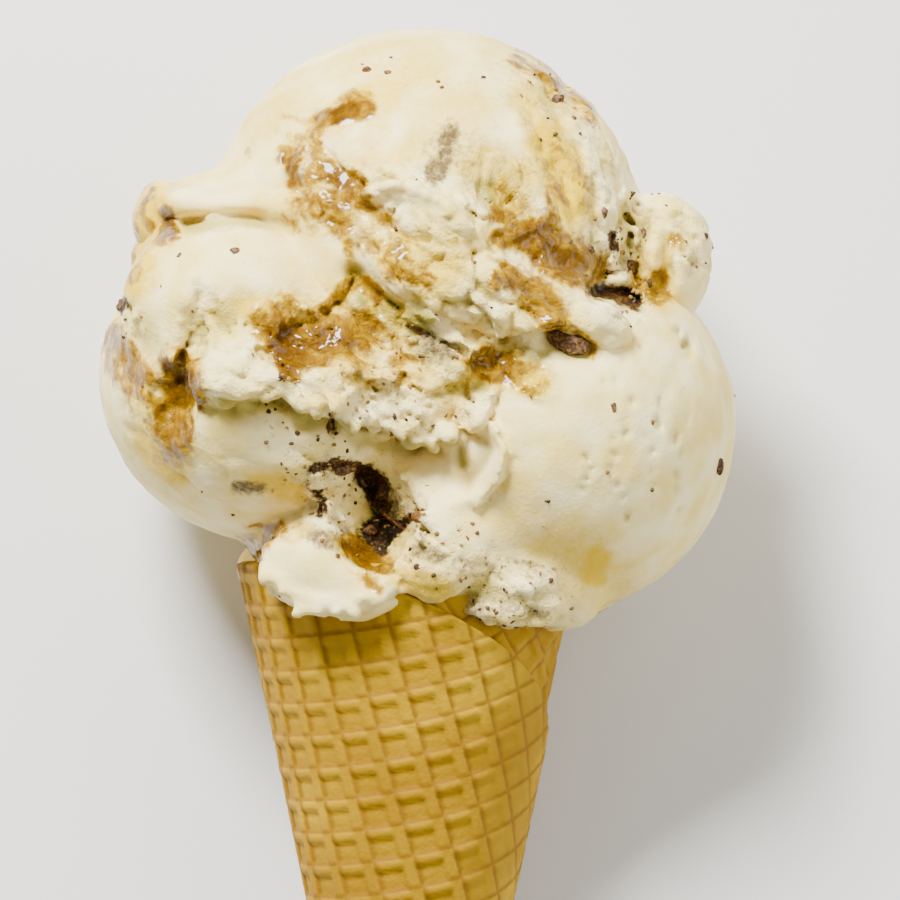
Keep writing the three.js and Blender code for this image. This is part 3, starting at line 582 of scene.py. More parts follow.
def unseen(pixel, y):
    """The x and z of the point at a depth that shows at a pixel."""
    nearness = CAMERA_AWAY / (CAMERA_AWAY + y)
    across = (pixel[0] - RIM_PIXEL[0]) * PIXEL
    up = (RIM_PIXEL[1] - pixel[1]) * PIXEL
    return LOOK_AT[0] + (across - LOOK_AT[0]) / nearness, LOOK_AT[1] + (up - LOOK_AT[1]) / nearness


def step(low, high, value):
    """A smooth step from 0 at low to 1 at high."""
    t = np.clip((value - low) / (high - low), 0, 1)
    return t * t * (3 - 2 * t)


def away(pixels, line):
    """The distance in millimetres from each pixel to a line in the picture."""
    line = np.array(line, float)
    if len(line) == 1:
        return np.hypot(*(pixels - line[0]).T) * PIXEL
    least = np.full(len(pixels), np.inf)
    for a, b in zip(line, line[1:]):
        t = np.clip((pixels - a) @ (b - a) / ((b - a) @ (b - a)), 0, 1)
        least = np.minimum(least, np.hypot(*(pixels - a - t[:, None] * (b - a)).T))
    return least * PIXEL


def beside(pixels, line):
    """The distance in millimetres from each pixel to a line, above 0 on its left and below on its
    right, and far off beyond its ends."""
    line = np.array(line, float)
    least = np.full(len(pixels), np.inf)
    signed = np.full(len(pixels), -1e3)
    for a, b in zip(line, line[1:]):
        way = b - a
        share = (pixels - a) @ way / (way @ way)
        off = pixels - a - np.clip(share, 0, 1)[:, None] * way
        gap = np.hypot(*off.T) + 4 * np.maximum(np.abs(share - 0.5) - 0.8, 0) * np.hypot(*way)
        side = np.sign(way[1] * (pixels - a)[:, 0] - way[0] * (pixels - a)[:, 1])
        signed = np.where(gap < least, side * gap, signed)
        least = np.minimum(least, gap)
    return signed * PIXEL


def near(pixels, line, reach):
    """The indices of the pixels that can lie within a reach of a line."""
    line = np.array(line, float)
    room = reach / PIXEL
    inside = (pixels > line.min(0) - room) & (pixels < line.max(0) + room)
    return np.nonzero(inside.all(axis=1))[0]


def spread(pixels, marks):
    """How strongly marks cover each pixel: a mark's full strength within half its width of its line,
    falling to 0 at one and a half times that width."""
    cover = np.zeros(len(pixels), np.float32)
    for line, width, strength in marks.values():
        index = near(pixels, line, 2 * width)
        fall = np.clip(1.5 - away(pixels[index], line) / width, 0, 1)
        cover[index] = np.maximum(cover[index], strength * fall)
    return cover


def ruffled(points, amount, size, seed):
    """The picture places of points, moved about by noise, so that edges come out uneven."""
    pixels = seen(points)
    shift = np.stack([noise(points, size, seed), noise(points, size, seed + 1)], axis=1)
    return pixels + shift * (amount / PIXEL)


def at_front(points):
    """1 on the side that the photograph shows and 0 on the far side."""
    return 1 - step(-1.0, 6.0, points[:, 1])


def drawn_out(points, turn, ratio):
    """Points squeezed along a direction in the picture, so that noise is drawn out along it."""
    c, s = math.cos(turn), math.sin(turn)
    along = (c * points[:, 0] + s * points[:, 2]) / ratio
    across = c * points[:, 2] - s * points[:, 0]
    return np.stack([along, points[:, 1], across], axis=1).astype(np.float32)


def roughness(points):
    """How torn the cream is, from 0 where it was wiped smooth to 1."""
    front = at_front(points)
    pixels = ruffled(points, 1.5, 6.0, 11)
    torn = np.zeros(len(points), np.float32)
    for line, reach, strength in TORN.values():
        index = near(pixels, line, 1.3 * reach)
        fall = 1 - step(0.45 * reach, 1.25 * reach, away(pixels[index], line))
        torn[index] = np.maximum(torn[index], strength * fall)
    behind = 0.75 * step(0.1, 0.5, noise(points, 19.0, 3))
    return front * torn + (1 - front) * behind


# The directions in the picture that the cream was torn in, and that the scoop wiped it in
FLOW_TURN = math.radians(-32)
STREAK_TURN = math.radians(62)


def caramel_cover(points):
    """How much caramel there is: the marks in front, and winding bands behind. Noise on three
    scales breaks up the marks' edges."""
    front = at_front(points)
    bands = np.abs(noise(points, 21.0, 5) + 0.25 * noise(points, 6.0, 6))
    behind = 0.9 * (1 - step(0.02, 0.13, bands)) * step(-0.1, 0.3, noise(points, 15.0, 7))
    marks = spread(ruffled(points, 1.1, 3.4, 21), CARAMEL_MARKS)
    flowing = drawn_out(points, FLOW_TURN, 2.2)
    broken = 0.34 * noise(flowing, 2.6, 23) + 0.24 * noise(flowing, 1.2, 24)
    broken += 0.14 * noise(points, 0.6, 25)
    marks = np.clip(marks + broken * (marks > 0), 0, 1)
    return np.maximum(front * marks, (1 - front) * behind)


# Layers of noise in the cream's skin: their size and height in millimetres, and a seed
SWELLS = [(9.0, 0.3, 41), (3.6, 0.16, 42)]
CRAGS = [(4.6, 1.5, 51), (2.2, 1.2, 52), (1.15, 0.8, 53)]

# Cracks in torn cream: the size of the noise they run along, their width as a share of its
# height, their depth, and a seed
CRACKS = [(5.2, 0.07, 1.3, 54), (2.4, 0.1, 0.7, 55)]


def relief(points):
    """How far the surface stands out or in, from slow swells down to the torn crumb."""
    points = points.astype(np.float32)
    front = at_front(points)
    pixels = ruffled(points, 0.45, 3.0, 31)
    torn = roughness(points)
    wet = step(0.35, 0.7, caramel_cover(points))
    height = sum(amount * noise(points, size, seed) for size, amount, seed in SWELLS)
    height += (0.03 + 0.1 * torn + 0.16 * wet) * noise(points, 1.5, 43)
    height += 0.12 * (1 - wet) * noise(drawn_out(points, STREAK_TURN, 5.0), 1.7, 44)
    grain = drawn_out(points, FLOW_TURN, 1.5)
    for size, amount, seed in CRAGS:
        height += (1 - 0.5 * wet) * torn * amount * (np.abs(noise(grain, size, seed)) - 0.28)
    for size, width, depth, seed in CRACKS:
        height -= torn * depth * np.exp(-((noise(grain, size, seed) / width) ** 2))
    for line, width, amount in FORMS.values():
        index = near(pixels, line, 2.5 * width)
        height[index] += front[index] * amount * np.exp(-((away(pixels[index], line) / width) ** 2))
    height += 0.25 * wet * (1 - 0.5 * torn)
    ragged = ruffled(points, 0.75, 1.7, 33)
    for line, reach, amount in LAYERS.values():
        index = near(ragged, line, reach)
        inward = beside(ragged[index], line)
        rise = step(-0.25, 0.1, inward) * (1 - step(0.15 * reach, reach, inward))
        height[index] += front[index] * amount * rise
        height[index] -= front[index] * 0.5 * amount * np.exp(-(((inward + 0.6) / 0.5) ** 2))
    plain = seen(points)
    draw = np.random.default_rng(35)
    for line, count in CHATTER.values():
        for i in range(count):
            dent = point_on(line, (i + 0.5) / count) + draw.normal(0, 2.8, 2)
            slant, half, width, depth = draw.uniform((-1.5, 0.5, 0.28, 0.25), (1.5, 3.5, 0.6, 0.85))
            tall = [(dent[0] - slant, dent[1] - half), (dent[0] + slant, dent[1] + half)]
            index = near(plain, tall, 1.8)
            height[index] -= front[index] * depth * np.exp(-((away(plain[index], tall) / width) ** 2))
    return height


def point_on(line, share):
    """The point at a share of the way along a line."""
    line = np.array(line, float)
    lengths = np.hypot(*(line[1:] - line[:-1]).T)
    gone = np.concatenate([[0], np.cumsum(lengths)])
    return np.array([np.interp(share * gone[-1], gone, line[:, n]) for n in range(2)])


def hang_lumps(field, hems, seed):
    """Small torn lumps along ragged edges, at the depth of the cream's front."""
    draw = np.random.default_rng(seed)
    for line, radius, spacing in hems:
        length = sum(math.dist(a, b) for a, b in zip(line, line[1:])) * PIXEL
        for i in range(int(length / spacing) + 1):
            pixel = point_on(line, min(1, i * spacing / length))
            pixel = pixel + draw.normal(0, 0.5 * radius / PIXEL, 2)
            size = radius * draw.uniform(0.6, 1.4, 3)
            x, z = unseen(pixel, FRONT_Y)
            x, z = unseen(pixel, field.front(x, z))
            centre = (x, field.front(x, z) + 0.2 * size[1], z)
            field.join(centre, size, draw.uniform(-0.8, 0.8), blend=0.5, margin=1.5)


def front_lump(lump):
    """A lump at the depth where it stands proud of the balls."""
    name, (x, z), size, turn, proud = lump
    return name, (x, balls_front(x, z) - proud + size[1], z), size, turn


def front_hollow(hollow):
    """A hollow at its depth behind the balls' front."""
    name, (x, z), size, turn, depth = hollow
    return name, (x, balls_front(x, z) + depth, z), size, turn


def back_lips():
    """The lips over the rim on the side that the photograph doesn't show, as lumps."""
    first, last = BACK_LIPS["turns"]
    for i in range(BACK_LIPS["count"]):
        turn = math.radians(first + (last - first) * i / (BACK_LIPS["count"] - 1))
        height = BACK_LIPS["z"] + BACK_LIPS["wave"] * math.sin(2.4 * i + 1)
        at = (BACK_LIPS["radius"] * math.sin(turn), -BACK_LIPS["radius"] * math.cos(turn), height)
        yield f"lip {i}", at, tuple(s * (1 + 0.15 * math.sin(1.9 * i)) for s in BACK_LIPS["size"]), 0


def build_field(low, high, voxel, lumps, hollows, hems, seed):
    """The distances of one scoop, with its relief, down to the floor."""
    field = Field(low, high, voxel)
    for lump in lumps:
        at, size, turn = placed(lump)
        field.join(at, size, turn)
    for hollow in hollows:
        at, size, turn = placed(hollow)
        field.carve(at, size, turn)
    index, points = field.band(BAND)
    field.values[index] -= relief(points) * (1 - step(0.75 * BAND, BAND, np.abs(field.values[index])))
    hang_lumps(field, hems, seed)
    x, y, z = field.axes
    above = -math.cos(REST_TILT) * y[:, None] + math.sin(REST_TILT) * z[None, :] + FLOOR_REACH
    field.values = np.maximum(field.values, -above[None, :, :])
    return field


def main_part(points, faces):
    """The largest joined part of a surface, without loose specks and the bubbles inside."""
    part = np.arange(len(points))
    while True:
        joined = part.copy()
        np.minimum.at(joined, faces.ravel(), np.repeat(part[faces].min(axis=1), 4))
        joined = joined[joined]
        if np.array_equal(joined, part):
            break
        part = joined
    kept = part == np.bincount(part).argmax()
    numbers = np.cumsum(kept) - 1
    return points[kept], numbers[faces[kept[faces[:, 0]]]]


def surface(field):
    """The closed surface of a field as points and four-sided faces that point out."""
    grid = openvdb.FloatGrid(FAR)
    grid.copyFromArray(field.values)
    points, faces = grid.convertToQuads()
    points = np.array(points, np.float32) * field.voxel + field.low.astype(np.float32)
    points, faces = main_part(points, np.array(faces, np.int64))
    a, b, c, d = (points[faces[:, n]] for n in range(4))
    volume = np.einsum("ij,ij->i", a, np.cross(b - a, c - a) + np.cross(c - a, d - a)).sum()
    return points, faces if volume > 0 else faces[:, ::-1]


def colour(code):
    """An sRGB hex colour as the linear values that Blender's sockets take."""
    parts = [int(code[i : i + 2], 16) / 255 for i in (1, 3, 5)]
    return *[p / 12.92 if p <= 0.04045 else ((p + 0.055) / 1.055) ** 2.4 for p in parts], 1.0


def per_mm(size):
    """A texture's scale on coordinates in metres, for features of a size in millimetres."""
    return 1 / (size * MM)


def add(tree, kind, settings=None, inputs=None):
    """A node with its settings, and with a value or a link on each of the inputs given."""
    node = tree.nodes.new(kind)
    for name, value in (settings or {}).items():
        setattr(node, name, value)
    for key, value in (inputs or {}).items():
        if isinstance(value, bpy.types.Node):
            value = value.outputs[0]
        if isinstance(value, bpy.types.NodeSocket):
            tree.links.new(value, node.inputs[key])
        else:
            node.inputs[key].default_value = value
    return node


def new_material(name):
    """A material with an empty node tree, and that tree."""
    material = bpy.data.materials.new(name)
    material.use_nodes = True
    material.node_tree.nodes.clear()
    return material, material.node_tree


def ramp(tree, value, *stops):
    """A colour ramp through stops of position and colour. A ramp ends at 1, so a value that
    reaches further is scaled down with its stops."""
    reach = max(1.0, stops[-1][0])
    stops = [(position / reach, shade) for position, shade in stops]
    value = add(tree, "ShaderNodeMath", {"operation": "DIVIDE"}, {0: value, 1: reach})
    node = add(tree, "ShaderNodeValToRGB", inputs={"Fac": value})
    while len(node.color_ramp.elements) < len(stops):
        node.color_ramp.elements.new(0.5)
    for element, (position, shade) in zip(node.color_ramp.elements, stops):
        element.position = position
        element.color = shade
    return node


# The noises in the cream's material: their size in millimetres, detail, roughness and distortion
CREAM_NOISES = {
    "fine": (0.9, 4.0, 0.6, 0.0),
    "slow": (7.0, 2.0, 0.5, 0.0),
    "grain": (0.42, 3.0, 0.65, 0.0),
    "specks": (1.2, 3.0, 0.7, 0.0),
    "swirl": (2.8, 2.5, 0.5, 1.6),
    "ripples": (1.0, 1.0, 0.5, 0.0),
}

# How each mark that the points carry shows: the cover at which it starts and at which it is full,
# and how far fine noise breaks up its edge
MARK_EDGES = {
    "yellow": (0.1, 1.05, 0.6),
    "olive_shade_and_stain": (0.15, 1.2, 0.6),
    "lilac": (0.28, 1.25, 1.4),
    "caramel": (0.05, 0.75, 0.5),
    "thick": (0.0, 1.0, 0.5),
    "deep": (0.0, 1.3, 0.6),
    "dark": (0.25, 0.75, 1.3),
}


def cream_material():
    """Vanilla ice cream, churned and scooped: a moist, ivory, faintly translucent crumb of fine
    ice. Caramel lies in it as glossy amber, thin and yellow where it bleeds out, and crushed
    cookie leaves dark and lilac-grey stains. A green-yellow painted shade darkens its recesses,
    and a green-brown painted shade its crevices and the cream under its overhangs."""
    material, tree = new_material("vanilla ice cream with caramel")
    place = add(tree, "ShaderNodeTexCoord").outputs["Object"]
    noises = {}
    for name, (size, detail, rough, distortion) in CREAM_NOISES.items():
        keys = {"Vector": place, "Scale": per_mm(size), "Detail": detail, "Roughness": rough}
        keys["Distortion"] = distortion
        noises[name] = add(tree, "ShaderNodeTexNoise", inputs=keys).outputs["Fac"]
    fine, slow, grain = (noises[name] for name in ("fine", "slow", "grain"))
    carried = {
        name: add(tree, "ShaderNodeAttribute", {"attribute_name": name}).outputs["Fac"]
        for name in [*MARKS, "painted_recess_shade", "strewn", "torn"]
    }
    carried["thick"] = carried["caramel"]
    covers = {}
    for name, (low, high, ragged) in MARK_EDGES.items():
        keys = {0: fine, 1: ragged, 2: carried[name]}
        moved = add(tree, "ShaderNodeMath", {"operation": "MULTIPLY_ADD"}, keys)
        moved = add(tree, "ShaderNodeMath", {"operation": "SUBTRACT"}, {0: moved, 1: ragged / 2})
        keys = {"Value": moved, "From Min": low, "From Max": high}
        covers[name] = add(tree, "ShaderNodeMapRange", {"interpolation_type": "SMOOTHSTEP"}, keys)
    body = ramp(
        tree,
        slow,
        (0.35, colour("#f2d878")),
        (0.5, colour("#fae498")),
        (0.65, colour("#ffedb0")),
    ).outputs["Color"]
    specks = ramp(tree, noises["specks"], (0.6, colour("#000000")), (0.68, colour("#ffffff")))
    keys = {0: specks, 1: carried["strewn"]}
    specks = add(tree, "ShaderNodeMath", {"operation": "MULTIPLY"}, keys)
    keys = {0: covers["deep"], 1: covers["thick"]}
    depth = add(tree, "ShaderNodeMath", {"operation": "ADD"}, keys)
    keys = {0: noises["swirl"], 1: 2.2, 2: depth}
    syrup = ramp(
        tree,
        add(tree, "ShaderNodeMath", {"operation": "MULTIPLY_ADD"}, keys),
        (1.0, colour("#f3dc58")),
        (1.4, colour("#d2aa00")),
        (1.8, colour("#a27a00")),
        (2.25, colour("#7a5400")),
        (3.0, colour("#583600")),
    ).outputs["Color"]
    soaked = ramp(
        tree,
        add(tree, "ShaderNodeMath", {"operation": "ADD"}, {0: grain, 1: slow}),
        (0.8, colour("#0f0a04")),
        (1.05, colour("#38240f")),
        (1.25, colour("#7a5326")),
    ).outputs["Color"]
    # What is mixed over the plain cream, from the painted shade in its recesses and crevices up to
    # soaked cookie
    for stain_and_shade, share in [
        # painted shade in the recesses
        (colour("#aa9a3c"), carried["painted_recess_shade"]),
        (colour("#e2ba00"), covers["yellow"]),
        # green-brown painted shade in crevices and under overhangs, with a little grey-green tint at
        # the crown
        (colour("#938a38"), covers["olive_shade_and_stain"]),
        (colour("#6e5a34"), covers["lilac"]),
        (colour("#80592c"), specks),
        (syrup, covers["caramel"]),
        (soaked, covers["dark"]),
    ]:
        keys = {0: share, 6: body, 7: stain_and_shade}
        body = add(tree, "ShaderNodeMix", {"data_type": "RGBA"}, keys).outputs[2]
    keys = {0: covers["caramel"], 1: -0.33, 2: 0.5}
    dry = add(tree, "ShaderNodeMath", {"operation": "MULTIPLY_ADD"}, keys)
    keys = {0: carried["torn"], 1: 0.75, 2: 0.25}
    icy = add(tree, "ShaderNodeMath", {"operation": "MULTIPLY_ADD"}, keys)
    keys = {0: covers["caramel"], 1: 0.45}
    glossy = add(tree, "ShaderNodeMath", {"operation": "MULTIPLY"}, keys)
    bumps = add(
        tree,
        "ShaderNodeBump",
        inputs={"Strength": icy, "Distance": 0.24 * MM, "Height": grain},
    )
    bumps = add(
        tree,
        "ShaderNodeBump",
        inputs={"Strength": icy, "Distance": 0.5 * MM, "Height": fine, "Normal": bumps},
    )
    ripples = add(
        tree,
        "ShaderNodeBump",
        inputs={"Strength": 0.8, "Distance": 0.07 * MM, "Height": noises["ripples"]},
    )
    shader = add(
        tree,
        "ShaderNodeBsdfPrincipled",
        inputs={
            "Base Color": body,
            "Roughness": dry,
            "IOR": 1.37,
            "Subsurface Weight": 0.2,
            "Subsurface Radius": (1.0, 0.8, 0.5),
            "Subsurface Scale": 0.6 * MM,
            "Specular IOR Level": 0.16,
            "Coat Weight": glossy,
            "Coat Roughness": 0.05,
            "Coat Normal": ripples,
            "Normal": bumps,
        },
    )
    add(tree, "ShaderNodeOutputMaterial", inputs={"Surface": shader})
    return material


def show(name, data):
    """An object with this data, put in the scene."""
    made = bpy.data.objects.new(name, data)
    bpy.context.scene.collection.objects.link(made)
    return made


def lay_down(mesh):
    """Turns a mesh from the upright frame to its place on the floor, with no point below it."""
    mesh.transform(LAY_DOWN)
    places = np.empty(3 * len(mesh.vertices), np.float32)
    mesh.vertices.foreach_get("co", places)
    places[2::3] = np.maximum(places[2::3], 0)
    mesh.vertices.foreach_set("co", places)
    mesh.update()
    mesh.shade_smooth()


def mesh_object(name, points, faces, material, attributes=None):
    """A smooth object with its place in its mesh, from points in the upright frame."""
    mesh = bpy.data.meshes.new(name)
    mesh.from_pydata(points.tolist(), [], faces.tolist())
    for key, values in (attributes or {}).items():
        layer = mesh.attributes.new(key, "FLOAT", "POINT")
        layer.data.foreach_set("value", np.ascontiguousarray(values, np.float32))
    lay_down(mesh)
    mesh.materials.append(material)
    return show(name, mesh)


def cream_attributes(points):
    """What the cream's material reads: each kind of mark, and a painted shade in the recesses, by how
    deep each point lies.
    """
    front = at_front(points)
    pixels = ruffled(points, 0.7, 2.2, 21)
    covers = {kind: front * spread(pixels, marks) for kind, marks in MARKS.items()}
    covers["caramel"] = caramel_cover(points)
    behind = 1 - front
    deep = behind * step(0.1, 0.5, noise(points, 8.0, 61))
    yellow = behind * 0.6 * step(0.1, 0.6, noise(points, 12.0, 62))
    covers["deep"] = np.maximum(covers["deep"], deep)
    covers["yellow"] = np.maximum(covers["yellow"], yellow)
    # Painted shade: a dull green-yellow tint where the relief sinks below the surface
    covers["painted_recess_shade"] = 0.8 * (1 - step(-1.3, -0.1, relief(points)))
    covers["strewn"] = front * (0.02 + spread(pixels, STREWN_MARKS))
    covers["torn"] = np.maximum(roughness(points), 0.6 * covers["dark"])
    covers["deep"] += 0.25 * noise(drawn_out(points, FLOW_TURN, 3.0), 1.6, 63)
    return covers


def cream_piece(name, field, material):
    """A scoop's surface as an object, with what its material reads."""
    points, faces = surface(field)
    return mesh_object(name, points, faces, material, cream_attributes(points))


COARSER = 1.0
UPPER_VOXEL = 0.51 * COARSER
LOWER_VOXEL = 0.612 * COARSER
UPPER_HEMS = ["tongue's lower edge", "tongue's upper edge"]

# The lowest and highest corners of each scoop's grid
UPPER_BOX = ((-47, -45, SEAT_Z - 2), (50, 44, 91))
LOWER_BOX = ((-52, -42, -14), (54, 42, 62))


def hems(upper):
    """The hems of the upper or of the lower scoop."""
    return [hem for name, hem in HEMS.items() if (name in UPPER_HEMS) == upper]


cream = cream_material()
upper = build_field(
    *UPPER_BOX,
    UPPER_VOXEL,
    [TOP_BALL, *UPPER_PLACED, *map(front_lump, UPPER_FRONT)],
    map(front_hollow, UPPER_HOLLOWS),
    hems(True),
    71,
)
upper.values = np.maximum(upper.values, SEAT_Z - upper.axes[2])
upper_scoop = cream_piece("upper_cream", upper, cream)
lower = build_field(
    *LOWER_BOX,
    LOWER_VOXEL,
    [*LOWER_BALLS, *LOWER_PLACED, *back_lips(), *map(front_lump, LOWER_FRONT)],
    map(front_hollow, LOWER_HOLLOWS),
    hems(False),
    72,
)
lower_scoop = cream_piece("lower_cream", lower, cream)


def wafer_material():
    """A sugar wafer, baked between embossed plates and rolled while hot: dry, golden and slightly
    satin. A painted shadow darkens each pit beside the ridges at its left and lower edges, and the
    rest of the floor is left paler."""
    material, tree = new_material("baked sugar wafer")
    place = add(tree, "ShaderNodeTexCoord").outputs["Object"]
    flat = add(tree, "ShaderNodeAttribute", {"attribute_name": "flat"}).outputs["Vector"]
    corner = add(tree, "ShaderNodeVectorMath", {"operation": "FRACTION"}, {0: flat})
    sides = add(tree, "ShaderNodeSeparateXYZ", inputs={"Vector": corner.outputs["Vector"]})
    blotches, pores = [
        add(tree, "ShaderNodeTexNoise", inputs={"Vector": place, "Scale": per_mm(size), "Detail": 3.0})
        for size in (14, 0.7)
    ]
    ground = ramp(
        tree,
        blotches.outputs["Fac"],
        (0.3, colour("#9a7200")),
        (0.55, colour("#ac8402")),
        (0.75, colour("#c8a00e")),
    ).outputs["Color"]
    # Painted shadow: a dark band beside the ridges, along each pit's left and lower edges, where the
    # ridges' shadow falls
    shades = []
    for side in ("X", "Y"):
        line = ramp(
            tree,
            sides.outputs[side],
            (0.11, colour("#000000")),
            (0.17, colour("#ffffff")),
            (0.21, colour("#ffffff")),
            (0.34, colour("#000000")),
        )
        shades.append(line.outputs["Color"])
    edge = add(tree, "ShaderNodeMath", {"operation": "MAXIMUM"}, {0: shades[0], 1: shades[1]})
    edge = add(tree, "ShaderNodeMath", {"operation": "MULTIPLY"}, {0: edge, 1: 0.75})
    # The painted shadow's dark brown over the wafer's ground colour
    shades = {0: edge, 6: ground, 7: colour("#7c540c")}
    body = add(tree, "ShaderNodeMix", {"data_type": "RGBA"}, shades).outputs[2]
    bumps = add(
        tree,
        "ShaderNodeBump",
        inputs={"Strength": 0.7, "Distance": 0.15 * MM, "Height": pores.outputs["Fac"]},
    )
    shader = add(
        tree,
        "ShaderNodeBsdfPrincipled",
        inputs={
            "Base Color": body,
            "Roughness": 0.62,
            "Specular IOR Level": 0.12,
            "IOR": 1.45,
            "Normal": bumps,
        },
    )
    add(tree, "ShaderNodeOutputMaterial", inputs={"Surface": shader})
    return material


def shape_tree(name, sizes):
    """An empty Geometry Nodes tree with an input for each size, and those inputs' sockets."""
    tree = bpy.data.node_groups.new(name, "GeometryNodeTree")
    tree.interface.new_socket("Geometry", in_out="INPUT", socket_type="NodeSocketGeometry")
    for size in sizes:
        tree.interface.new_socket(size, in_out="INPUT", socket_type="NodeSocketFloat")
    tree.interface.new_socket("Geometry", in_out="OUTPUT", socket_type="NodeSocketGeometry")
    return tree, tree.nodes.new("NodeGroupInput").outputs


def grown(name, tree, sizes, mesh=None):
    """The plain mesh that a tree makes with these sizes."""
    holder = show(name + "_rule", mesh or bpy.data.meshes.new(name + "_rule"))
    modifier = holder.modifiers.new(name, "NODES")
    modifier.node_group = tree
    for item in tree.interface.items_tree:
        if item.in_out == "INPUT" and item.name in sizes:
            modifier[item.identifier] = sizes[item.name]
    graph = bpy.context.evaluated_depsgraph_get()
    made = bpy.data.meshes.new_from_object(holder.evaluated_get(graph), depsgraph=graph)
    bpy.data.objects.remove(holder)
    return made


# The turns between which the lattice wears down beside the flap, and the share of its ridges'
# height that is left there
WORN_TURNS = (24.0, 46.0)
WORN_HEIGHT = 0.4

WAFER_SIZES = {
    "Apex Z": APEX_Z,
    "Slope": math.tan(HALF_ANGLE),
    "Sine": math.sin(HALF_ANGLE),
    "Cosine": math.cos(HALF_ANGLE),
    "Tip Z": TIP_Z,
    "Rim Z": RIM_Z,
    "Cell": CELL,
    "Column Shift": COLUMN_SHIFT,
    "Row Shift": ROW_SHIFT,
    "Pit Floor": PIT_FLOOR,
    "Ridge Top": RIDGE_TOP,
    "Wrap Lift": WRAP_LIFT,
    "Worn Height": WORN_HEIGHT,
}

# The sheet's faces round the axis and along it, and the shares of its length that go to the
# outside, the rim's bead and the closed foot of the hollow
WAFER_COLUMNS = 330
WAFER_ROWS = 270
OUTSIDE_SHARE = 0.86
RIM_SHARE = 0.025
FOOT_SHARE = 0.01
RIM_END = OUTSIDE_SHARE + RIM_SHARE
FOOT_START = 1.0 - FOOT_SHARE

# The shares of the sheet's width where its hidden start comes up, where the flap dips, where its
# edge begins and where it turns back under
HIDDEN_START = 0.004
FLAP_DIPS = 0.982
FLAP_EDGE = 0.985
FLAP_BACK = 0.988

# How many degrees the sheet runs on under the flap, and how far above the ridges' height it is
# counted there, so that it stays clear of the flap
OVERLAP = 12.0
UNDER_GAP = 0.15

# The hollow's depth, the rounded tip's height, the height of the rim's bead, how far the pits
# bulge, and the distance within which points are welded
HOLLOW_DEPTH = 66.0
TIP_ROUNDING = 3.0
RIM_BEAD = 0.5
PIT_BULGE = 1.1
WELD = 0.004

# A ridge's flank, in cells from the ridge's middle
RIDGE_FLANK = (0.08, 0.25)


